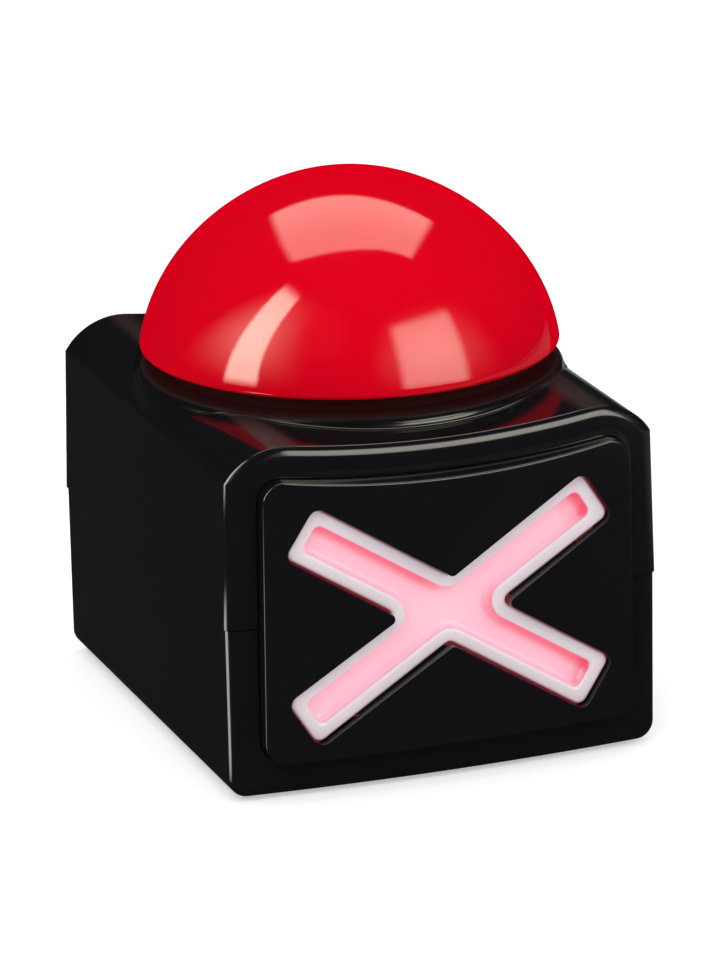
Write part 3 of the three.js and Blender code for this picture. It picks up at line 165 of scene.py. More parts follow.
# Screws, feet, bay and speaker
BOSS_X = 51.3
BOSS_YS = (CORNER_Y + 13.2, BACK_Y - 13.0)
BOSS_R = 4.3
SCREW_HOLE_R = 1.75
SCREW_HEAD_R = 3.2
FOOT_X = 42.2
FOOT_YS = (CORNER_Y + 8.7, BACK_Y - 25.0)
FOOT_SEAT_R = 5.3
BAY_BACK_Y = BACK_Y - WALL
BAY_FRONT_Y = BAY_BACK_Y - 45.3
BAY_HALF = 28.1
BAY_TOP_Z = UNDERSIDE + 17.0
DOOR_HALF = BAY_HALF + 2.2
DOOR_FRONT_Y = BAY_FRONT_Y - 2.2
DOOR_TOP_Z = UNDERSIDE + 2.2
DOOR_GAP = 0.3
DOOR_PLAY = 0.15
GROOVE_REACH = 1.9
GROOVE_HEIGHT = 1.3
BOARD_BACK_Y = FRONT_WALL_Y + 13.6
SPEAKER_Y = (DOOR_FRONT_Y - 6 + BOARD_BACK_Y) / 2
SPEAKER_R = (DOOR_FRONT_Y - 6 - BOARD_BACK_Y) / 2 - 6.4
SPEAKER_RING_R = SPEAKER_R + 1.9
SPEAKER_SEAT_R = SPEAKER_R + 0.3
SPEAKER_RING_LOW_Z, SPEAKER_RING_TOP_Z = 2.7, 5.9
GRILLE_PITCH = SPEAKER_R * 0.28
GRILLE_HOLE_R = 2.0
LIP_GAP = 0.3
LIP_INSIDE = 1.7
LIP_RISE = 2.5
LIP_DROP = 4.8
BAND_HALF = 57.9
BAND_HOLE_HALF = 55.9
BAY_WALL = 1.6
RAIL_REACH = 6
RAIL_TOP_Z = 6.5
BAY_END_Y = BACK_Y - 1.2
LIGHT_BOX_HALF = 45.7
SWITCH_SLOT = (41.2, 44.8, -6.3, 2.3)
# Heights that cutting tools reach, clear of what they cut
BELOW_Z = UNDERSIDE - 4
ABOVE_FLOOR_Z = 8
ABOVE_DECK_Z = 99
BELOW_SLEEVES_Z = 76
BELOW_STEM_BORE_Z = 88
BELOW_BOARD_Z = 70


def top_z(x):
    return SHOULDER_Z - TOP_DIP * (1 - (x / SHOULDER_X) ** 2)


def front_y(x):
    return CORNER_Y - FRONT_BOW * (1 - (x / HALF) ** 2)


def arc(cx, cz, radius, start, end, steps):
    angles = [start + (end - start) * i / steps for i in range(steps + 1)]
    return [(cx + radius * math.cos(a), cz + radius * math.sin(a)) for a in angles]


def inset(outline, distance):
    """The closed, counter-clockwise outline, moved inwards, with a limit at sharp corners."""
    moved = []
    count = len(outline)
    for i, (x, z) in enumerate(outline):
        px, pz = outline[i - 1]
        nx, nz = outline[(i + 1) % count]
        before = Vector((x - px, z - pz)).normalized()
        after = Vector((nx - x, nz - z)).normalized()
        normal = Vector((-before.y - after.y, before.x + after.x)).normalized()
        reach = distance / max(normal.dot(Vector((-before.y, before.x))), 0.3)
        moved.append((x + normal.x * reach, z + normal.y * reach))
    return moved


def inside(outline, x, z):
    hit = False
    for i, (ax, az) in enumerate(outline):
        bx, bz = outline[i - 1]
        if (az > z) != (bz > z) and x < (bx - ax) * (z - az) / (bz - az) + ax:
            hit = not hit
    return hit


class Skin:
    """Points and faces that become one mesh."""

    def __init__(self):
        self.points = []
        self.faces = []

    def ring(self, points):
        start = len(self.points)
        self.points.extend(points)
        return list(range(start, len(self.points)))

    def bridge(self, a, b):
        for i in range(len(a)):
            j = (i + 1) % len(a)
            self.faces.append((a[i], a[j], b[j], b[i]))

    def loft(self, rings):
        rings = [self.ring(r) for r in rings]
        for a, b in zip(rings, rings[1:]):
            self.bridge(a, b)
        return rings

    def cap(self, ring, place, holes=(), step=4.0, extra=()):
        """Fills a ring, less its holes, with triangles and a grid of points placed by x and z."""
        loops = [ring, *holes]
        index = [i for loop in loops for i in loop]
        flat = [Vector((self.points[i][0], self.points[i][2])) for i in index]
        outlines = [[(self.points[i][0], self.points[i][2]) for i in loop] for loop in loops]
        edges = []
        start = 0
        for loop in loops:
            count = len(loop)
            edges += [(start + k, start + (k + 1) % count) for k in range(count)]
            start += count
        xs = [p[0] for p in outlines[0]]
        zs = [p[1] for p in outlines[0]]
        clear = step * 0.3
        near = ((clear, 0), (-clear, 0), (0, clear), (0, -clear))
        grid = [Vector(p) for p in extra if all(inside(outlines[0], p[0] + dx, p[1] + dz)
                                                for dx, dz in near)]
        taken = {(round(p.x / step), round(p.y / step)) for p in grid}
        for i in range(math.ceil(min(xs) / step), math.floor(max(xs) / step) + 1):
            for k in range(math.ceil(min(zs) / step), math.floor(max(zs) / step) + 1):
                spots = [(i * step + dx, k * step + dz) for dx, dz in near]
                kept = all(inside(outlines[0], *s) for s in spots)
                if (i, k) in taken:
                    continue
                if kept and not any(inside(o, *s) for o in outlines[1:] for s in spots):
                    grid.append(Vector((i * step, k * step)))
        points, _, faces, origin, _, _ = delaunay_2d_cdt(flat + grid, edges, [], 0, 1e-6, True)
        found = []
        for point, sources in zip(points, origin):
            known = [s for s in sources if s < len(index)]
            if known:
                found.append(index[known[0]])
            else:
                self.points.append(place(point.x, point.y))
                found.append(len(self.points) - 1)
        for face in faces:
            x = sum(points[v].x for v in face) / len(face)
            z = sum(points[v].y for v in face) / len(face)
            if inside(outlines[0], x, z) and not any(inside(o, x, z) for o in outlines[1:]):
                self.faces.append(tuple(found[v] for v in face))

    def mesh(self):
        mesh = bpy.data.meshes.new("skin")
        mesh.from_pydata(self.points, [], self.faces)
        return tidied(mesh)


def tidied(mesh):
    bm = bmesh.new()
    bm.from_mesh(mesh)
    bmesh.ops.remove_doubles(bm, verts=bm.verts, dist=1e-5)
    bmesh.ops.recalc_face_normals(bm, faces=bm.faces)
    bm.to_mesh(mesh)
    bm.free()
    return mesh


def kept_side(mesh, z, above):
    """The part of a closed mesh above or below a height, closed again."""
    bm = bmesh.new()
    bm.from_mesh(mesh)
    geometry = bm.verts[:] + bm.edges[:] + bm.faces[:]
    done = bmesh.ops.bisect_plane(bm, geom=geometry, plane_co=(0, 0, z), plane_no=(0, 0, 1),
                                  clear_inner=above, clear_outer=not above)
    rim = [g for g in done["geom_cut"] if isinstance(g, bmesh.types.BMEdge)]
    bmesh.ops.contextual_create(bm, geom=rim)
    bmesh.ops.recalc_face_normals(bm, faces=bm.faces)
    bm.to_mesh(mesh)
    bm.free()
    return mesh


def combined(base, operation, *tools):
    """The base mesh after joining, cutting or crossing with each tool in turn."""
    for tool in tools:
        holder = bpy.data.objects.new("holder", base)
        other = bpy.data.objects.new("tool", tool)
        for obj in (holder, other):
            bpy.context.scene.collection.objects.link(obj)
        modifier = holder.modifiers.new("shape", "BOOLEAN")
        modifier.operation = operation
        modifier.object = other
        modifier.solver = "MANIFOLD"
        graph = bpy.context.evaluated_depsgraph_get()
        base = bpy.data.meshes.new_from_object(holder.evaluated_get(graph))
        bpy.data.objects.remove(holder)
        bpy.data.objects.remove(other)
    return base


def prism(outline, y0, y1):
    skin = Skin()
    rings = skin.loft([[(x, y, z) for x, z in outline] for y in (y0, y1)])
    skin.faces += [tuple(rings[0]), tuple(rings[1])]
    return skin.mesh()


def box(x0, x1, y0, y1, z0, z1):
    return prism([(x0, z0), (x1, z0), (x1, z1), (x0, z1)], y0, y1)


def lathe(profile, segments=64, x=0.0, y=0.0):
    """Profile points (radius, height) turned round an upright axis; radius 0 closes the ends."""
    skin = Skin()
    rings = []
    for r, z in profile:
        if r < 1e-6:
            rings.append(skin.ring([(x, y, z)]))
        else:
            turn = [2 * math.pi * i / segments for i in range(segments)]
            rings.append(skin.ring([(x + r * math.cos(a), y + r * math.sin(a), z) for a in turn]))
    for a, b in zip(rings, rings[1:]):
        if len(a) == 1 or len(b) == 1:
            tip, rim = (a, b) if len(a) == 1 else (b, a)
            for i in range(len(rim)):
                skin.faces.append((tip[0], rim[i], rim[(i + 1) % len(rim)]))
        else:
            skin.bridge(a, b)
    if len(rings[0]) > 1 and profile[0] != profile[-1]:
        skin.bridge(rings[-1], rings[0])
    return skin.mesh()


def post(x, y, z0, z1, radius, segments=32):
    return lathe([(0, z0), (radius, z0), (radius, z1), (0, z1)], segments, x, y)


def joined(*meshes):
    bm = bmesh.new()
    for mesh in meshes:
        bm.from_mesh(mesh)
    result = bpy.data.meshes.new("joined")
    bm.to_mesh(result)
    bm.free()
    return result


def piece(name, mesh, body, slot, nodes, sharp=32):
    """Brings a mesh to metres and the frame's origin, and puts it in place of CAD nodes."""
    mesh = mesh.copy()
    mesh.name = name
    mesh.transform(Matrix.Translation((0, AXIS_Y * MM, 0)) @ Matrix.Scale(MM, 4))
    mesh.shade_smooth()
    mesh.set_sharp_from_angle(angle=math.radians(sharp))
    mesh.materials.clear()
    mesh.materials.append(finishes[slot])
    obj = bpy.data.objects.new(name, mesh)
    bpy.context.scene.collection.objects.link(obj)
    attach(obj, body)
    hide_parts(*nodes)
    return obj


# Materials

CLOUD_SCALE, CLOUD_DETAIL = 45.0, 4.0
GRAIN_SCALE, GRAIN_DETAIL = 900.0, 3.0
GRAIN_DEPTH = 0.0002
GLOSS_VARIES = 0.12
FULL_GLOSS = 0.5
# The share of facing away at which gloss starts to fade and has faded, and the gloss left
BLACK_FADE = (0.76, 0.96, 0.12)
RED_FADE = (0.4, 0.7, 0.0)
# The black plastic under the dome's lip: matt, with a faint red glow painted on for the dome's red
# light
DECK_MATT_FROM, DECK_MATT_TO = DECK_Z - 1.1, DECK_Z - 0.2
DECK_ROUGHER = 0.6
DECK_GLOSS_SHARE = 0.06
DECK_PAINTED_GLOW = 0.012
DECK_PAINTED_GLOW_COLOR = (1, 0.03, 0.03, 1)
# The lens: its floor's base colour runs from a painted shade to a lit colour, and its outer sides are
# painted a dark red shade
LENS_SHADE_FROM, LENS_SHADE_TO = 0.19, 0.48
LENS_SHADED = (0.15, 0.02, 0.05, 1)
LENS_LIT = (0.3, 0.62, 0.68, 1)
LENS_SIDE_PAINTED_SHADE = (0.3, 0.02, 0.03, 1)
LENS_RIM_GLOW, LENS_FLOOR_GLOW, LENS_SIDE_GLOW = 0.05, 0.68, 0.08
LENS_GLOW_COLOR = (1, 0.06, 0.13, 1)


def feed(tree, socket, source):
    """Gives a socket a plain value, or links it to another node's output."""
    if isinstance(source, bpy.types.NodeSocket):
        tree.links.new(source, socket)
    else:
        socket.default_value = source


def add_node(tree, kind, output, inputs, **settings):
    """Adds a shader node with these inputs and returns one of its outputs."""
    node = tree.nodes.new("ShaderNode" + kind)
    for name, value in settings.items():
        setattr(node, name, value)
    for key, source in inputs.items():
        feed(tree, node.inputs[key], source)
    return node.outputs[output]


def math_node(tree, operation, *sources):
    return add_node(tree, "Math", 0, dict(enumerate(sources)), operation=operation)


def ranged(tree, source, low, high, to_low=0.0, to_high=1.0, curve_type="LINEAR"):
    inputs = {"Value": source, "From Min": low, "From Max": high, "To Min": to_low, "To Max": to_high}
    return add_node(tree, "MapRange", 0, inputs, interpolation_type=curve_type)


def mixed(tree, share, a, b):
    return add_node(tree, "MixRGB", "Color", {"Fac": share, "Color1": a, "Color2": b})


def object_axis(tree, axis):
    return add_node(tree, "SeparateXYZ", axis, {0: add_node(tree, "TexCoord", "Object", {})})


def material(name, color, roughness, metallic=0.0, coat=0.0, bump=0.02, mottle=0.04):
    """A surface whose colour and gloss vary a little over its area, with a fine moulded grain."""
    made = bpy.data.materials.new(name)
    made.use_nodes = True
    tree = made.node_tree
    sockets = tree.nodes["Principled BSDF"].inputs
    sockets["Metallic"].default_value = metallic
    sockets["Coat Weight"].default_value = coat
    place = add_node(tree, "TexCoord", "Object", {})
    cloud = add_node(tree, "TexNoise", "Fac", {
        "Vector": place, "Scale": CLOUD_SCALE, "Detail": CLOUD_DETAIL})
    darker, lighter = [(*[min(c * share, 1) for c in color], 1) for share in (1 - mottle, 1 + mottle)]
    feed(tree, sockets["Base Color"], mixed(tree, cloud, darker, lighter))
    feed(tree, sockets["Roughness"], ranged(tree, cloud, 0.0, 1.0, roughness * (1 - GLOSS_VARIES),
                                            roughness * (1 + GLOSS_VARIES)))
    grain = add_node(tree, "TexNoise", "Fac", {
        "Vector": place, "Scale": GRAIN_SCALE, "Detail": GRAIN_DETAIL})
    feed(tree, sockets["Normal"], add_node(tree, "Bump", "Normal", {
        "Strength": bump, "Distance": GRAIN_DEPTH, "Height": grain}))
    return made


def calmed(made, start, end, least, dull=None):
    """Lets the gloss fade where a surface turns away, so that softboxes don't burn out its edge."""
    tree = made.node_tree
    level = ranged(tree, add_node(tree, "LayerWeight", "Facing", {}), start, end, FULL_GLOSS, least)
    if dull is not None:
        level = math_node(tree, "MULTIPLY", level, ranged(tree, dull, 0.0, 1.0, 1.0, DECK_GLOSS_SHARE))
    feed(tree, tree.nodes["Principled BSDF"].inputs["Specular IOR Level"], level)
    return made


def housing_black():
    """Glossy black, but matt on the deck under the dome's lip, where a faint red glow is painted on for
    the dome's red light.
    """
    made = material("moulded_black", (0.006, 0.006, 0.007), 0.1, mottle=0.25)
    tree = made.node_tree
    sockets = tree.nodes["Principled BSDF"].inputs
    above = ranged(tree, object_axis(tree, "Z"), DECK_MATT_FROM * MM, DECK_MATT_TO * MM)
    gloss = sockets["Roughness"].links[0].from_socket
    feed(tree, sockets["Roughness"], math_node(tree, "MULTIPLY_ADD", above, DECK_ROUGHER, gloss))
    # A painted red glow on the deck, in place of the dome's red light there
    feed(tree, sockets["Emission Strength"], math_node(tree, "MULTIPLY", above, DECK_PAINTED_GLOW))
    sockets["Emission Color"].default_value = DECK_PAINTED_GLOW_COLOR
    return calmed(made, *BLACK_FADE, above)


def lit_lens():
    """The milky lens, lit in red from behind: white on its rim, pink in its recess where less plastic
    stands before the light. Shade is painted deep red on the floor under the walls towards the lamps,
    and a dark red shade is painted on its outer sides.
    """
    made = material("moulded_lens", (0.84, 0.8, 0.84), 0.3, bump=0.05)
    tree = made.node_tree
    sockets = tree.nodes["Principled BSDF"].inputs
    rim_color = sockets["Base Color"].links[0].from_socket
    rim = RIM_Y + AXIS_Y
    depth = ranged(tree, object_axis(tree, "Y"), (rim + LENS_GLOW_FROM) * MM,
                   (rim + LENS_GLOW_TO) * MM, curve_type="SMOOTHSTEP")
    hollow = add_node(tree, "Attribute", "Fac", {}, attribute_name="hollow")
    inner = math_node(tree, "MULTIPLY", depth, hollow)
    # The studio's light comes from above and the right, so the walls on that side shade the floor; an
    # occlusion test towards that side paints this shade into the base colour
    toward = add_node(tree, "CombineXYZ", 0, dict(zip("XYZ", LENS_LIGHT)))
    open_share = add_node(tree, "AmbientOcclusion", "AO", {
        "Distance": LENS_SHADE_REACH * MM, "Normal": toward}, samples=8, only_local=True)
    light = ranged(tree, open_share, LENS_SHADE_FROM, LENS_SHADE_TO)
    # The floor's colour with painted shade: LENS_SHADED where the walls hide the light, LENS_LIT in the
    # open
    floor_painted_shade = mixed(tree, light, LENS_SHADED, LENS_LIT)
    # The outer sides, down in the plate's gap, are painted a dark red shade, red where the glow shows
    # through
    outer = mixed(tree, depth, rim_color, LENS_SIDE_PAINTED_SHADE)
    feed(tree, sockets["Base Color"], mixed(tree, inner, outer, floor_painted_shade))
    glow = ranged(tree, inner, 0.0, 1.0, LENS_RIM_GLOW, LENS_FLOOR_GLOW)
    glow = math_node(tree, "MULTIPLY_ADD", depth, LENS_SIDE_GLOW, glow)
    feed(tree, sockets["Emission Strength"], glow)
    sockets["Emission Color"].default_value = LENS_GLOW_COLOR
    return made


finishes = {
    "black_gloss_plastic": housing_black(),
    "red_gloss_plastic": calmed(material("moulded_red", (0.75, 0.0, 0.012), 0.06), *RED_FADE),
    "pink_lens_plastic": lit_lens(),
    "white_plastic": material("moulded_white", (0.75, 0.74, 0.71), 0.5),
    "dark_plastic": material("moulded_dark", (0.02, 0.02, 0.022), 0.45, bump=0.1),
    "red_led_plastic": material("clear_red", (0.6, 0.03, 0.02), 0.1, coat=0.5),
    "circuit_board": material("green_board", (0.01, 0.1, 0.035), 0.35, mottle=0.3),
    "plated_steel": material("zinc_plate", (0.55, 0.56, 0.58), 0.3, 1.0),
    "magnet_steel": material("dark_steel", (0.3, 0.3, 0.31), 0.45, 1.0),
    "speaker_paper": material("pressed_paper", (0.03, 0.029, 0.027), 0.9, bump=0.4),
    "battery_can": material("printed_can", (0.05, 0.11, 0.2), 0.3, 0.6),
    "foot_rubber": material("soft_rubber", (0.015, 0.015, 0.015), 0.85, bump=0.3),
    "lead_insulation": material("red_sleeve", (0.25, 0.01, 0.01), 0.45),
}


# Housing

def section(base_z, low_half, seam_half, corner_r, top, bend=True):
    """A closed housing section, counter-clockwise from the middle of its bottom."""
    right = [((low_half - corner_r) * i / 12, base_z) for i in range(12)]
    if corner_r:
        right += arc(low_half - corner_r, base_z + corner_r, corner_r, -math.pi / 2, 0, 16)
    else:
        right.append((low_half, base_z))
    if bend:
        right.append((seam_half, SEAM_Z))
    if not top:
        right.append((seam_half, SEAM_Z + EXTRA))
        right += [(seam_half * i / 12, SEAM_Z + EXTRA) for i in range(11, -1, -1)]
    else:
        slope = math.atan(2 * TOP_DIP / SHOULDER_X)
        start = Vector((SHOULDER_X, top_z(SHOULDER_X)))
        end = Vector((HALF - TOP_DRAFT, CREASE_Z))
        inward = Vector((math.sin(slope), -math.cos(slope)))
        chord = end - start
        radius = chord.length_squared / (2 * chord.dot(inward))
        center = start + inward * radius
        a0 = math.atan2(start.y - center.y, start.x - center.x)
        a1 = math.atan2(end.y - center.y, end.x - center.x)
        # The first span is long, so that the frame's inset has no crossing at the crease
        right.append((end.x, end.y))
        right += arc(center.x, center.y, radius, a1 + (a0 - a1) * 0.13, a0, 21)
        right += [(SHOULDER_X * i / 18, top_z(SHOULDER_X * i / 18)) for i in range(17, -1, -1)]
    return right + [(-x, z) for x, z in reversed(right[1:-1])]


def housing_half(outline, setback):
    """A half of the housing's outside, with its rounded back, its creased sides and its front."""
    skin = Skin()
    rings = []
    back = BACK_Y - setback
    for r, y in arc(BACK_R, back - BACK_R, BACK_R, math.pi / 2, math.pi, 6):
        rings.append([(x, y, z) for x, z in inset(outline, r)])
    start = math.pi * 1.5 - FRONT_TURN
    rim = FRONT_R * math.sin(FRONT_TURN)
    turn = math.pi / 2 - FRONT_TURN
    crease = FRONT_R * (1 - math.cos(FRONT_TURN)) + CREASE_R * math.tan(turn / 2)
    for r, depth in arc(CREASE_R, crease, CREASE_R, math.pi, math.pi + turn, 4):
        rings.append([(x, front_y(x) + setback + depth, z) for x, z in inset(outline, r)])
    for r, depth in arc(rim, FRONT_R, FRONT_R, start, math.pi * 1.5, 14)[1:]:
        rings.append([(x, front_y(x) + setback + depth, z) for x, z in inset(outline, r)])
    made = skin.loft(rings)
    skin.faces.append(tuple(made[0]))
    skin.cap(made[-1], lambda x, z: (x, front_y(x) + setback - swell(x, z), z), extra=swell_points)
    return skin.mesh()


def swell(x, z):
    """How far the face bulges forward close to the plate."""
    nearest = min(span_distance(a, plate_rim[i - 1], x, z) for i, a in enumerate(plate_rim))
    share = max(1 - nearest / SWELL_WIDTH, 0)
    return SWELL_HEIGHT * share


def span_distance(a, b, x, z):
    dx, dz = b[0] - a[0], b[1] - a[1]
    t = ((x - a[0]) * dx + (z - a[1]) * dz) / (dx * dx + dz * dz)
    t = min(max(t, 0), 1)
    return math.hypot(x - a[0] - t * dx, z - a[1] - t * dz)


def surface_z(x):
    """Height of the housing's outside over x."""
    for (ax, az), (bx, bz) in zip(upper_outline, upper_outline[1:]):
        if az > SEAM_Z and bz > SEAM_Z and bx <= abs(x) <= ax:
            return az + (bz - az) * (ax - abs(x)) / (ax - bx)
    return top_z(0)


def plate_outline(offset, sag=0.0):
    """The plate's outline, whose top edge hangs lower by the sag in the middle."""
    top_x = PLATE_TOP_HALF - PLATE_R
    top = PLATE_HIGH_Z + PLATE_DIP - PLATE_R
    middle, rise = PLATE_HIGH_Z - sag, PLATE_DIP + sag
    low_x = PLATE_LOW_HALF - PLATE_R
    right = [(low_x * i / 12, PLATE_LOW_Z) for i in range(12)]
    right += arc(low_x, PLATE_LOW_Z + PLATE_R, PLATE_R, -math.pi / 2, 0, 14)
    right += arc(top_x, top, PLATE_R, 0, math.pi / 2, 14)
    right += [(top_x * i / 18, middle + rise * (i / 18) ** 2) for i in range(17, -1, -1)]
    return inset(right + [(-x, z) for x, z in reversed(right[1:-1])], offset)


def cross_outline(grow, least=LENS_SHARP_R, steps=8):
    """The cross of four arms, grown outwards, with rounded ends and notches."""
    half = ARM_HALF + grow
    length = ARM_LENGTH + grow
    end_r = max(ARM_R + grow, least)
    notch_r = max(NOTCH_R - grow, least)
    corners = []
    arms = [ARM_ANGLE, math.pi - ARM_ANGLE, math.pi + ARM_ANGLE, 2 * math.pi - ARM_ANGLE]
    for i, angle in enumerate(arms):
        along = Vector((math.cos(angle), math.sin(angle)))
        across = Vector((-along.y, along.x))
        corners.append((along * length - across * half, end_r))
        corners.append((along * length + across * half, end_r))
        reach = half / (math.cos(ARM_ANGLE) if i % 2 == 0 else math.sin(ARM_ANGLE))
        turn = [math.pi / 2, math.pi, math.pi * 1.5, 0][i]
        corners.append((Vector((reach * math.cos(turn), reach * math.sin(turn))), notch_r))
    points = []
    for i, (corner, radius) in enumerate(corners):
        to_before = (corners[i - 1][0] - corner).normalized()
        to_after = (corners[(i + 1) % len(corners)][0] - corner).normalized()
        half_angle = to_before.angle(to_after) / 2
        center = corner + (to_before + to_after).normalized() * (radius / math.sin(half_angle))
        start = corner + to_before * (radius / math.tan(half_angle)) - center
        end = corner + to_after * (radius / math.tan(half_angle)) - center
        a0 = math.atan2(start.y, start.x)
        sweep = math.atan2(end.y, end.x) - a0
        if sweep > math.pi:
            sweep -= 2 * math.pi
        if sweep < -math.pi:
            sweep += 2 * math.pi
        points += arc(center.x, CROSS_Z + center.y, radius, a0, a0 + sweep, steps)
    return points


plate_rim = plate_outline(-SEAT_GAP)
# Points on both sides of the swell, so that the face follows it
swell_points = [p for out in (0.0, -0.35, -0.9, -1.5, -2.0, -2.15, -3.2) for p in plate_outline(out)]
flare = TOP_DRAFT * EXTRA / (CREASE_Z - SEAM_Z)
upper_outline = section(SEAM_Z - EXTRA, HALF + flare, HALF, 0, True, False)
lower_outline = section(UNDERSIDE, LOW_HALF, HALF - SEAM_STEP, BOTTOM_R, False, False)
boss_places = [(x, y) for x in (-BOSS_X, BOSS_X) for y in BOSS_YS]
guide_places = [(GUIDE_CIRCLE * math.cos(a), GUIDE_CIRCLE * math.sin(a))
                for a in (math.pi * (2 * i + 1) / 4 for i in range(4))]
foot_places = [(x, y) for x in (-FOOT_X, FOOT_X) for y in FOOT_YS]


def seat_and_window():
    """The plate's seat in the front, and the opening behind it that the light comes through."""
    seat = prism(plate_outline(-SEAT_GAP), CORNER_Y - 12, SEAT_Y)
    r, x = WINDOW_R, WINDOW_HALF - WINDOW_R
    low, high = PLATE_LOW_Z + WINDOW_MARGIN + r, PLATE_HIGH_Z - WINDOW_MARGIN - r
    window = arc(x, low, r, -math.pi / 2, 0, 8) + arc(x, high, r, 0, math.pi / 2, 8)
    window += arc(-x, high, r, math.pi / 2, math.pi, 8) + arc(-x, low, r, math.pi, math.pi * 1.5, 8)
    return seat, prism(window, CORNER_Y - 4, FRONT_WALL_Y + 4)


def cavity():
    whole = section(UNDERSIDE, LOW_HALF, HALF, BOTTOM_R, True)
    return prism(inset(whole, WALL), FRONT_WALL_Y, BACK_Y - WALL)


def collar():
    """The ring round the dome. Its foot follows the housing's curved top."""
    profiles = []
    steps = 180
    for i in range(steps):
        turn = 2 * math.pi * i / steps
        c, s = math.cos(turn), math.sin(turn)
        # The collar's foot comes close to the sides, so its fillet is smaller there
        fillet_r = FILLET_SIDE_R + (FILLET_R - FILLET_SIDE_R) * s * s
        foot_r = COLLAR_R + COLLAR_DRAFT * 0.6 + fillet_r
        foot_z = surface_z(foot_r * c)
        run = 0.5
        tilt = math.atan2(foot_z - surface_z((foot_r - run) * c), run)
        fillet = arc(0, 0, fillet_r, math.pi * 1.5 + tilt, math.pi, 6)
        shift_r, shift_z = foot_r - fillet[0][0], foot_z - 0.01 - fillet[0][1]
        profile = [(COLLAR_R - WALL, COLLAR_LOW_Z), (foot_r, COLLAR_LOW_Z)]
        profile += [(r + shift_r, z + shift_z) for r, z in fillet]
        wall_r = profile[-1][0]
        profile += [(COLLAR_R + (wall_r - COLLAR_R) * 0.3, DECK_Z - COLLAR_ROUND - 0.3)]
        profile += arc(COLLAR_R - COLLAR_ROUND, DECK_Z - COLLAR_ROUND, COLLAR_ROUND, 0, math.pi / 2, 10)
        profile += [(COLLAR_FLAT_R, DECK_Z), (DECK_R, DECK_Z), (DECK_R, DECK_UNDER_Z),
                    (COLLAR_R - WALL, DECK_UNDER_Z)]
        profiles.append([(r * c, r * s, z) for r, z in profile])
    skin = Skin()
    made = skin.loft(zip(*profiles))
    skin.bridge(made[-1], made[0])
    return skin.mesh()


def deck_with_guides():
    """The floor under the dome with its dust ring, guide sleeves and board standoffs."""
    edge = DECK_R + 0.4
    deck = lathe([(0, DECK_UNDER_Z), (edge, DECK_UNDER_Z), (edge, DECK_Z), (0, DECK_Z)], 96)
    inner, top = RING_R - RING_WALL, DECK_Z + RING_HEIGHT
    ring = lathe([(inner, DECK_Z - 1), (RING_R, DECK_Z - 1), (RING_R, top - RING_BEVEL),
                  (RING_R - RING_BEVEL, top), (inner + RING_BEVEL, top), (inner, top - RING_BEVEL),
                  (inner, DECK_Z - 1)], 120)
    root = DECK_Z - 1.2
    sleeves = [post(x, y, SLEEVE_LOW_Z, root, SLEEVE_R) for x, y in guide_places]
    standoffs = [post(x, 0, BOARD_Z, root, STANDOFF_R) for x in (-STANDOFF_X, STANDOFF_X)]
    deck = combined(deck, "UNION", *sleeves, *standoffs)
    bores = [post(x, y, BELOW_SLEEVES_Z, ABOVE_DECK_Z, GUIDE_BORE_R) for x, y in guide_places]
    bores.append(post(0, 0, BELOW_STEM_BORE_Z, ABOVE_DECK_Z, STEM_BORE_R))
    bores += [post(x, 0, BELOW_BOARD_Z, BOARD_Z + PILOT_DEPTH, PILOT_R, 16)
              for x in (-STANDOFF_X, STANDOFF_X)]
    deck = combined(deck, "DIFFERENCE", *bores)
    return joined(deck, ring)


def make_upper_shell():
    body = kept_side(housing_half(upper_outline, 0.0), SEAM_Z, True)
    body = combined(body, "DIFFERENCE", cavity(), *seat_and_window(),
                    post(0, 0, DECK_Z - 14, DECK_Z + 4, COLLAR_R - 1.2, 120))
    columns = [post(x, y, SEAM_Z, surface_z(abs(x) + BOSS_R) - 0.5, BOSS_R) for x, y in boss_places]
    body = combined(body, "UNION", *columns)
    body = combined(body, "DIFFERENCE", *[post(x, y, SEAM_Z - 4, SEAM_Z + 12, PILOT_R, 16)
                                          for x, y in boss_places])
    return piece("upper_shell", joined(body, collar(), deck_with_guides()), "housing",
                 "black_gloss_plastic", ["top_housing"])


def joint_lip():
    """The wall that stands up inside the upper half, on a band round the lower half's rim."""
    whole = section(UNDERSIDE, LOW_HALF, HALF, BOTTOM_R, True)
    outside, hollow = [prism(inset(whole, WALL + gap), FRONT_WALL_Y + gap, BACK_Y - WALL - gap)
                       for gap in (LIP_GAP, LIP_INSIDE)]
    lip = combined(outside, "DIFFERENCE", hollow)
    lip = combined(lip, "INTERSECT", box(-HALF, HALF, -70, 70, SEAM_Z - LIP_DROP, SEAM_Z + LIP_RISE))
    top = SEAM_Z - SEAM_GAP
    band = box(-BAND_HALF, BAND_HALF, FRONT_WALL_Y - LIP_GAP, BACK_Y - WALL + LIP_GAP, top - WALL, top)
    hole = box(-BAND_HOLE_HALF, BAND_HOLE_HALF, FRONT_WALL_Y + LIP_INSIDE,
               BACK_Y - WALL - LIP_INSIDE, 30, 60)
    return lip, combined(band, "DIFFERENCE", hole)


def grille_places():
    """One hole in the middle and two circles of holes round it."""
    places = [(0, SPEAKER_Y)]
    for circle in (1, 2):
        for i in range(circle * 6):
            turn = 2 * math.pi * i / (circle * 6)
            reach = circle * GRILLE_PITCH
            places.append((reach * math.cos(turn), SPEAKER_Y + reach * math.sin(turn)))
    return places


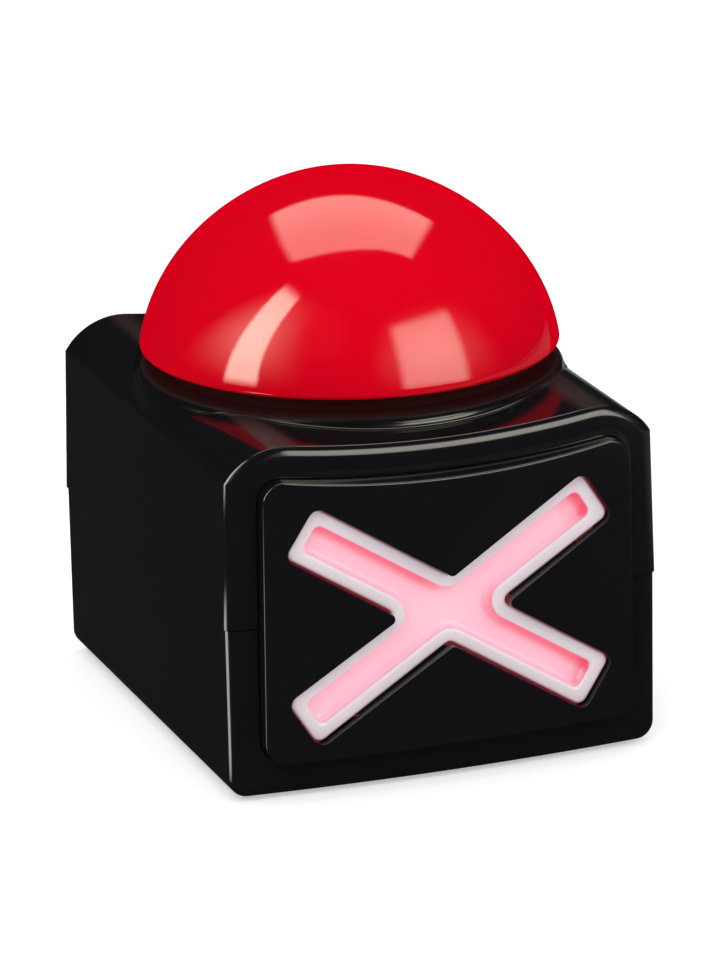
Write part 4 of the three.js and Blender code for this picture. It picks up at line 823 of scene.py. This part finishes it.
def make_lower_shell():
    top, floor_z = SEAM_Z - SEAM_GAP, UNDERSIDE + 0.1
    body = kept_side(housing_half(lower_outline, SEAM_STEP), top, False)
    body = combined(body, "DIFFERENCE", cavity())
    lip, band = joint_lip()
    columns = [post(x, y, floor_z, top, BOSS_R) for x, y in boss_places]
    rail_half, bay_half = DOOR_HALF + RAIL_REACH, BAY_HALF + BAY_WALL
    rail = box(-rail_half, rail_half, DOOR_FRONT_Y - RAIL_REACH, BAY_END_Y, floor_z, RAIL_TOP_Z)
    bay = box(-bay_half, bay_half, BAY_FRONT_Y - BAY_WALL, BAY_END_Y, floor_z, BAY_TOP_Z + BAY_WALL)
    ring = post(0, SPEAKER_Y, SPEAKER_RING_LOW_Z, SPEAKER_RING_TOP_Z, SPEAKER_RING_R, 72)
    ring = combined(ring, "DIFFERENCE", post(0, SPEAKER_Y, FLOOR_Z, 9, SPEAKER_SEAT_R, 72))
    body = combined(body, "UNION", lip, band, *columns, rail, bay, ring)
    door_y, door_z = DOOR_FRONT_Y - DOOR_GAP, DOOR_TOP_Z + DOOR_PLAY
    groove = DOOR_HALF + GROOVE_REACH
    cuts = [
        *seat_and_window(),
        box(-LIGHT_BOX_HALF, LIGHT_BOX_HALF, FRONT_WALL_Y, BOARD_BACK_Y, SEAM_Z - LIP_DROP, SEAM_Z + 4),
        box(-BAY_HALF, BAY_HALF, BAY_FRONT_Y, BAY_BACK_Y, BELOW_Z, BAY_TOP_Z),
        box(-DOOR_HALF - DOOR_GAP, DOOR_HALF + DOOR_GAP, door_y, BACK_Y + 4, BELOW_Z, door_z),
        box(-groove, groove, door_y, BACK_Y + 4, DOOR_TOP_Z - GROOVE_HEIGHT, door_z),
        box(*SWITCH_SLOT, BELOW_Z, ABOVE_FLOOR_Z),
    ]
    for x, y in boss_places:
        cuts += [post(x, y, BELOW_Z, top - 3, SCREW_HEAD_R, 40),
                 post(x, y, UNDERSIDE, top + 4, SCREW_HOLE_R, 20)]
    cuts += [post(x, y, BELOW_Z, UNDERSIDE + 1, FOOT_SEAT_R, 48) for x, y in foot_places]
    cuts += [post(x, y, BELOW_Z, ABOVE_FLOOR_Z, GRILLE_HOLE_R, 24) for x, y in grille_places()]
    body = combined(body, "DIFFERENCE", *cuts)
    return piece("lower_shell", body, "housing", "black_gloss_plastic", ["bottom_housing"])


def plate_y(x, depth=0.0):
    return front_y(x) - PLATE_PROUD + depth


def make_plate():
    skin = Skin()
    rings = [[(x, SEAT_Y, z) for x, z in plate_outline(0)],
             [(x, front_y(x), z) for x, z in plate_outline(0)]]
    for r, depth in arc(PLATE_EDGE_R, PLATE_EDGE_R, PLATE_EDGE_R, math.pi, math.pi * 1.5, 8):
        rings.append([(x, plate_y(x, depth), z) for x, z in plate_outline(r, PLATE_SAG)])
    outer = skin.loft(rings)
    hole = cross_outline(CROSS_GAP)
    inner = skin.loft([[(x, plate_y(x), z) for x, z in hole], [(x, SEAT_Y, z) for x, z in hole]])
    skin.cap(outer[-1], lambda x, z: (x, plate_y(x), z), [inner[0]])
    skin.cap(outer[0], lambda x, z: (x, SEAT_Y, z), [inner[-1]])
    hollow = Skin()
    back = hollow.ring([(x, SEAT_Y + 4, z) for x, z in plate_outline(WALL, PLATE_SAG)])
    front = hollow.ring([(x, plate_y(x, WALL), z) for x, z in plate_outline(WALL, PLATE_SAG)])
    hollow.bridge(back, front)
    hollow.faces.append(tuple(back))
    hollow.cap(front, lambda x, z: (x, plate_y(x, WALL), z))
    mesh = combined(skin.mesh(), "DIFFERENCE", hollow.mesh())
    return piece("face_plate", mesh, "housing", "black_gloss_plastic", ["front_plate"])


def make_lens():
    """The lens, from its flange over its raised rim to its recessed floor."""
    floor_y = RIM_Y + RECESS
    flange_y = SEAT_Y - LENS_FLANGE_DEPTH
    profile = [(-LENS_FLANGE, floor_y + LENS_WALL), (-LENS_FLANGE, SEAT_Y), (LENS_FLANGE, SEAT_Y),
               (LENS_FLANGE, flange_y), (0.0, flange_y)]
    edge_r, lip_r, quarter = LENS_EDGE_R, LENS_LIP_R, math.pi / 2
    profile += [(r - edge_r, RIM_Y + edge_r + y) for r, y in arc(0, 0, edge_r, 0, -quarter, 7)]
    profile += [(-LENS_RIM - r, RIM_Y + lip_r + y)
                for r, y in arc(0, 0, lip_r, -quarter, -LENS_DRAFT, 7)]
    wall_r, wall_y = profile[-1]
    profile += [(wall_r - 0.25, wall_y + 1.0)]
    profile += arc(-LENS_FLOOR_AT, floor_y - LENS_FLOOR_R, LENS_FLOOR_R, LENS_DRAFT, quarter, 6)
    skin = Skin()
    rings = []
    for grow, y in profile:
        least = LENS_SHARP_R if grow > -1.5 else LENS_SOFT_R
        rings.append([(x, y, z) for x, z in cross_outline(grow, least)])
    made = skin.loft(rings)
    skin.cap(made[-1], lambda x, z: (x, floor_y, z), step=3.0)
    skin.cap(made[0], lambda x, z: (x, floor_y + LENS_WALL, z), step=6.0)
    mesh = skin.mesh()
    # The glow stays inside the rim's middle, and this marks the points there
    rim_middle = cross_outline(-LENS_RIM_MIDDLE)
    hollow = mesh.attributes.new("hollow", "FLOAT", "POINT")
    for vertex, mark in zip(mesh.vertices, hollow.data):
        mark.value = float(inside(rim_middle, vertex.co.x, vertex.co.z))
    return piece("lit_cross", mesh, "housing", "pink_lens_plastic", ["cross_lens"], 50)


def dome_profile(offset, from_z, steps):
    radius = DOME_R - offset
    height = DOME_HEIGHT - offset
    start = math.asin(min(((from_z - EQUATOR_Z) / height) ** (DOME_POWER / 2), 1))
    points = []
    for i in range(steps + 1):
        angle = start + (math.pi / 2 - start) * i / steps
        r = 0 if i == steps else radius * math.cos(angle) ** (2 / DOME_POWER)
        points.append((r, EQUATOR_Z + height * math.sin(angle) ** (2 / DOME_POWER)))
    return points


def make_dome():
    outside = dome_profile(0, LIP_Z + LIP_R, 56)
    inner = dome_profile(DOME_WALL, LIP_Z, 20)[::-1]
    edge_r = outside[0][0]
    lip = arc(edge_r - LIP_R, LIP_Z + LIP_R, LIP_R, -math.pi / 2, 0, 8)[:-1]
    mesh = lathe(inner + lip + outside, 192)
    for i in range(3):
        angle = 2 * math.pi * (i / 3 + 1 / 4)
        x, y = DOME_BOSS_CIRCLE * math.cos(angle), DOME_BOSS_CIRCLE * math.sin(angle)
        mesh = combined(mesh, "UNION", post(x, y, CARRIER_TOP_Z, DOME_BOSS_TOP_Z, DOME_BOSS_R))
        mesh = combined(mesh, "DIFFERENCE", post(x, y, CARRIER_TOP_Z - 4, CARRIER_TOP_Z + PILOT_DEPTH,
                                                 PILOT_R, 16))
    return piece("press_dome", mesh, "dome", "red_gloss_plastic", ["dome_button"])


def make_springs():
    """Coils between deck and carrier, made at their rest length; on the real buzzer they shorten by the
    dome's travel.
    """
    height = SPRING_HIGH_Z - SPRING_LOW_Z
    rise = height - 2 * SPRING_WIRE_R
    pitch = rise / (2 * math.pi * SPRING_TURNS * SPRING_R)
    section_circle = arc(0, 0, SPRING_WIRE_R, 0, 2 * math.pi, 10)[:-1]
    for number, (x, y) in enumerate(guide_places, 1):
        rings = []
        for i in range(SPRING_STEPS + 1):
            angle = 2 * math.pi * SPRING_TURNS * i / SPRING_STEPS
            outward = Vector((math.cos(angle), math.sin(angle), 0))
            up = outward.cross(Vector((-math.sin(angle), math.cos(angle), pitch))).normalized()
            middle = Vector((x, y, SPRING_LOW_Z + SPRING_WIRE_R + rise * i / SPRING_STEPS))
            middle += outward * SPRING_R
            rings.append([tuple(middle + outward * c + up * s) for c, s in section_circle])
        skin = Skin()
        made = skin.loft(rings)
        skin.faces += [tuple(made[0]), tuple(made[-1])]
        spring = piece(f"press_spring_{number}", skin.mesh(), "housing", "plated_steel",
                       [f"return_spring_{number}"], 60)
        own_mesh(spring)


make_upper_shell()
make_lower_shell()
make_plate()
make_lens()
make_dome()
make_springs()

# CAD nodes that stay take the finish of their slot
slots = {
    "black_gloss_plastic": ["battery_door"],
    "dark_plastic": ["dome_carrier", "push_switch_body", "sound_chip", "power_switch_knob"],
    "white_plastic": ["light_box", "push_switch_plunger"],
    "circuit_board": ["cross_led_board", "main_board"],
    "speaker_paper": ["speaker_cone"],
    "magnet_steel": ["speaker_magnet"],
}
prefixes = {
    "cross_led_": "red_led_plastic", "battery_contact": "plated_steel", "battery_": "battery_can",
    "foot_": "foot_rubber", "speaker_lead": "lead_insulation", "battery_lead": "lead_insulation",
    "light_lead": "lead_insulation",
}
replaced = {"top_housing", "bottom_housing", "front_plate", "cross_lens", "dome_button"}
replaced |= {f"return_spring_{i}" for i in range(1, 5)}
for name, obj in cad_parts.items():
    if name in replaced:
        continue
    chosen = next((s for s, names in slots.items() if name in names), None)
    if chosen is None:
        fits = [p for p in prefixes if name.startswith(p)]
        chosen = prefixes[max(fits, key=len)] if fits else "plated_steel"
    for holder in obj.material_slots:
        holder.material = finishes[chosen]


# Camera, placed where the photo was taken from by fitting the housing's edges to it
TARGET = Vector((2.51, 4.23, 60.969)) * MM
AZIMUTH = -0.34951
ELEVATION = 0.30672
DISTANCE = 1.62263
ROLL = -0.02025
FOCAL_PX = 6028.57
WIDTH_PX, HEIGHT_PX = 720, 960
CENTER_X, CENTER_Y = 0.474, -0.697

back = Vector((math.sin(AZIMUTH) * math.cos(ELEVATION), -math.cos(AZIMUTH) * math.cos(ELEVATION),
               math.sin(ELEVATION)))
camera = bpy.data.objects.new("camera", bpy.data.cameras.new("camera"))
bpy.context.scene.collection.objects.link(camera)
camera.data.sensor_width = 36.0
camera.data.lens = FOCAL_PX / HEIGHT_PX * 36.0
camera.data.shift_x = -CENTER_X / HEIGHT_PX
camera.data.shift_y = CENTER_Y / HEIGHT_PX
camera.data.clip_end = 20
camera.matrix_world = (Matrix.Translation(TARGET + back * DISTANCE)
                       @ back.to_track_quat("Z", "Y").to_matrix().to_4x4()
                       @ Matrix.Rotation(ROLL, 4, "Z"))
bpy.context.scene.camera = camera
bpy.context.scene.view_settings.view_transform = "Standard"


# Stage

def emitter(name, strength, soft=0.0, color=(1, 1, 1)):
    """A plain light. A soft one fades to its edges and adds to what is seen behind it."""
    made = bpy.data.materials.new(name)
    made.use_nodes = True
    tree = made.node_tree
    tree.nodes.clear()
    output = tree.nodes.new("ShaderNodeOutputMaterial")
    if soft:
        place = add_node(tree, "UVMap", "UV", {}, uv_map="card")
        for axis in "XY":
            across = add_node(tree, "SeparateXYZ", axis, {0: place})
            edge = math_node(tree, "PINGPONG", across, 0.5)
            fade = ranged(tree, edge, 0.0, soft, curve_type="SMOOTHSTEP")
            strength = math_node(tree, "MULTIPLY", fade, strength)
    shine = add_node(tree, "Emission", 0, {"Color": (*color, 1), "Strength": strength})
    if soft:
        shine = add_node(tree, "AddShader", 0, {0: shine, 1: add_node(tree, "BsdfTransparent", 0, {})})
    tree.links.new(shine, output.inputs["Surface"])
    return made


def reflections_only(obj):
    obj.visible_camera = False
    obj.visible_diffuse = False
    obj.visible_transmission = False
    obj.visible_shadow = False
    obj.visible_volume_scatter = False


def stage_object(name, points, faces, look, uvs=None):
    mesh = bpy.data.meshes.new(name)
    mesh.from_pydata(points, [], faces)
    if uvs:
        layer = mesh.uv_layers.new(name="card")
        for loop in mesh.loops:
            layer.data[loop.index].uv = uvs[loop.vertex_index]
    mesh.materials.append(look)
    obj = bpy.data.objects.new(name, mesh)
    bpy.context.scene.collection.objects.link(obj)
    return obj


def floor_patch(name, x0, x1, y0, y1, z, look):
    corners = [(x0, y0, z), (x1, y0, z), (x1, y1, z), (x0, y1, z)]
    return stage_object(name, corners, [(0, 1, 2, 3)], look, [(0, 0), (1, 0), (1, 1), (0, 1)])


def camera_ray(px, py):
    x = (px - WIDTH_PX / 2 - CENTER_X) / FOCAL_PX
    y = -(py - HEIGHT_PX / 2 - CENTER_Y) / FOCAL_PX
    turn = camera.matrix_world.to_3x3()
    return (turn @ Vector((x, y, -1))).normalized()


def dome_hit(px, py):
    """Where a pixel's ray meets the dome, and the dome's outward direction there."""
    origin = camera.matrix_world.translation
    ray = camera_ray(px, py)
    center = Vector((0, AXIS_Y, EQUATOR_Z)) * MM
    radius, height = DOME_R * MM, DOME_HEIGHT * MM

    def level(t):
        p = origin + ray * t - center
        return (math.hypot(p.x, p.y) / radius) ** DOME_POWER + (abs(p.z) / height) ** DOME_POWER - 1

    # A coarse walk along the ray finds the dome, and halving finds its surface
    near, far, steps = DISTANCE - 0.12, DISTANCE + 0.02, 400
    walk = (near + (far - near) * i / steps for i in range(steps + 1))
    high = next(t for t in walk if level(t) < 0)
    low = high - (far - near) / steps
    for _ in range(30):
        middle = (low + high) / 2
        low, high = (middle, high) if level(middle) > 0 else (low, middle)
    p = origin + ray * high - center
    r = math.hypot(p.x, p.y)
    side = (r / radius) ** (DOME_POWER - 1) / radius
    up = (abs(p.z) / height) ** (DOME_POWER - 1) / height
    return p + center, Vector((side * p.x / r, side * p.y / r, up)).normalized(), ray


def grid_faces(rows, columns):
    """The faces of a grid of points that is listed row by row."""
    starts = [k * (columns + 1) + i for k in range(rows) for i in range(columns)]
    return [(n, n + 1, n + columns + 2, n + columns + 1) for n in starts]


def curve(a, middle, b, t):
    """A point on the smooth curve through three pixels."""
    return (Vector(a) * (1 - t) * (1 - 2 * t) + Vector(middle) * 4 * t * (1 - t)
            + Vector(b) * t * (2 * t - 1))


def card(name, rows, strength, soft, color, reach=1.0):
    """A softbox that shows in the dome between four curved sides.

    The rows hold pixels: the top side, the middles of the left and right sides, the low side.
    """
    (a, ab, b), (ad, bc), (d, dc, c) = rows
    points, uvs = [], []
    steps = 12
    for k in range(steps + 1):
        v = k / steps
        left, right = curve(a, ad, d, v), curve(b, bc, c, v)
        for i in range(steps + 1):
            u = i / steps
            across = curve(a, ab, b, u) * (1 - v) + curve(d, dc, c, u) * v
            corners = (Vector(a) * (1 - v) + Vector(d) * v) * (1 - u)
            corners += (Vector(b) * (1 - v) + Vector(c) * v) * u
            place, normal, ray = dome_hit(*(across + left * (1 - u) + right * u - corners))
            away = ray - normal * 2 * ray.dot(normal)
            points.append(place + away * reach)
            uvs.append((u, v))
    look = emitter(name, strength, soft, color)
    reflections_only(stage_object(name, points, grid_faces(steps, steps), look, uvs))


# Where the photo's softboxes show in the dome, in its pixels
TOP_ROWS = (((266, 216), (350, 194), (437, 223)), ((275, 241), (425.5, 241.5)),
            ((288, 265), (362, 251), (413, 261)))
LEFT_ROWS = (((288, 281), (297, 288), (303, 296)), ((241, 333), (270.5, 342.5)),
             ((221, 385), (240, 388), (258, 390)))
LEFT_GLOW_ROWS = (((283, 283), (305, 290), (335, 300)), ((212, 318), (310, 345)),
                  ((172, 362), (235, 387), (318, 395)))
RIGHT_GLOW_ROWS = (((372, 316), (415, 303), (458, 294)), ((366, 360), (496, 336)),
                   ((368, 396), (440, 392), (516, 378)))
RIGHT_ROWS = (((384, 324), (418, 313), (447, 303)), ((393, 360), (466.5, 345)),
              ((400, 395), (438, 391), (475, 386)))
GLOW_REACH = 1.1
card("softbox_top", TOP_ROWS, strength=4.1, soft=0.06, color=(1, 0.95, 0.83))
card("softbox_left", LEFT_ROWS, strength=11.0, soft=0.12, color=(1, 0.98, 0.82))
card("glow_left", LEFT_GLOW_ROWS, strength=3.2, soft=0.5, color=(1, 0.97, 0.8), reach=GLOW_REACH)
card("glow_right", RIGHT_GLOW_ROWS, strength=1.8, soft=0.5, color=(1, 0.96, 0.85), reach=GLOW_REACH)
card("softbox_right", RIGHT_ROWS, strength=4.7, soft=0.15, color=(1, 0.96, 0.85))

# Dark flags that only reflections see, so that the black plastic stays black
FLAG_HIGH = 0.014
FLAG_LOW = 0.023
FLAG_HALF = 1.9
FLAG_Z = 0.0002
TENT_R = 2.0
sphere = bmesh.new()
bmesh.ops.create_uvsphere(sphere, u_segments=48, v_segments=24, radius=TENT_R)
tent_mesh = bpy.data.meshes.new("flag_tent")
sphere.to_mesh(tent_mesh)
sphere.free()
tent_mesh.materials.append(emitter("flag", FLAG_HIGH))
tent = bpy.data.objects.new("flag_tent", tent_mesh)
bpy.context.scene.collection.objects.link(tent)
reflections_only(tent)
reflections_only(floor_patch("flag_floor", -FLAG_HALF, FLAG_HALF, -FLAG_HALF, FLAG_HALF, FLAG_Z,
                             emitter("flag_low", FLAG_LOW)))

# Paler floor that only the right side and the back mirror
BOUNCE = 0.22
BOUNCE_SOFT = 0.25
BOUNCE_Z = 0.0006
for name, *sides in (("bounce_right", 0.1, 1.6, -1.0, 1.0), ("bounce_back", -0.06, 1.0, 0.09, 1.4)):
    reflections_only(floor_patch(name, *sides, BOUNCE_Z, emitter(name, BOUNCE, BOUNCE_SOFT)))

# A bright wedge of floor beside the front's left edge, for the thin light along that edge
EDGE_LIGHT = 8.0
EDGE_LIGHT_SOFT = 0.3
EDGE_LIGHT_Z = 0.0004
EDGE_LIGHT_REACHES = (0.008, 0.02, 0.05, 0.1, 0.2, 0.35)
EDGE_LIGHT_FROM, EDGE_LIGHT_SPAN, EDGE_LIGHT_STEPS = 64, 28, 8
rows = len(EDGE_LIGHT_REACHES) - 1
points, uvs = [], []
for k, reach in enumerate(EDGE_LIGHT_REACHES):
    for i in range(EDGE_LIGHT_STEPS + 1):
        angle = math.radians(EDGE_LIGHT_FROM + EDGE_LIGHT_SPAN * i / EDGE_LIGHT_STEPS)
        points.append((-HALF * MM - reach * math.sin(angle),
                       (CORNER_Y + AXIS_Y + 2) * MM - reach * math.cos(angle), EDGE_LIGHT_Z))
        uvs.append((i / EDGE_LIGHT_STEPS, k / rows))
reflections_only(stage_object("edge_light", points, grid_faces(rows, EDGE_LIGHT_STEPS),
                              emitter("edge_light", EDGE_LIGHT, EDGE_LIGHT_SOFT), uvs))


def seen_directly(tree):
    """1 for camera, mirror and glass rays, 0 for the light that falls on other surfaces."""
    path = tree.nodes.new("ShaderNodeLightPath")
    total = path.outputs["Is Camera Ray"]
    for other in ("Is Glossy Ray", "Is Transmission Ray"):
        total = math_node(tree, "MAXIMUM", total, path.outputs[other])
    return total


def lit_for_camera(name, color, level):
    """A pale surface that camera, mirror and glass rays also see glowing a little."""
    made = bpy.data.materials.new(name)
    made.use_nodes = True
    tree = made.node_tree
    sockets = tree.nodes["Principled BSDF"].inputs
    sockets["Roughness"].default_value = 0.8
    sockets["Specular IOR Level"].default_value = 0.0
    sockets["Base Color"].default_value = (*color, 1)
    sockets["Emission Color"].default_value = (1, 1, 1, 1)
    feed(tree, sockets["Emission Strength"], math_node(tree, "MULTIPLY", seen_directly(tree), level))
    return made


FLOOR_HALF = 6
FLOOR_COLOR = (0.88, 0.88, 0.88)
FLOOR_GLOW = 0.45
floor = floor_patch("floor", -FLOOR_HALF, FLOOR_HALF, -FLOOR_HALF, FLOOR_HALF, 0,
                    lit_for_camera("floor", FLOOR_COLOR, FLOOR_GLOW))

WORLD_LEVEL = 0.55
world = bpy.data.worlds.new("studio")
bpy.context.scene.world = world
world.use_nodes = True
sky = world.node_tree.nodes["Background"].inputs
sky["Color"].default_value = (1, 1, 1, 1)
feed(world.node_tree, sky["Strength"],
     ranged(world.node_tree, seen_directly(world.node_tree), 0.0, 1.0, WORLD_LEVEL, 1.0))

LAMP_AIM = Vector((0, 0, 0.06))


def lamp(name, place, size, power):
    data = bpy.data.lights.new(name, "AREA")
    data.shape = "DISK"
    data.size = size
    data.energy = power
    obj = bpy.data.objects.new(name, data)
    bpy.context.scene.collection.objects.link(obj)
    obj.location = place
    obj.rotation_mode = "QUATERNION"
    obj.rotation_quaternion = (Vector(place) - LAMP_AIM).to_track_quat("Z", "Y")
    obj.visible_glossy = False


lamp("key", place=(-0.75, -0.85, 1.0), size=0.8, power=6.0)
lamp("fill", place=(0.9, -0.8, 0.7), size=0.9, power=3.0)
lamp("top", place=(0.0, 0.2, 1.4), size=0.9, power=4.0)
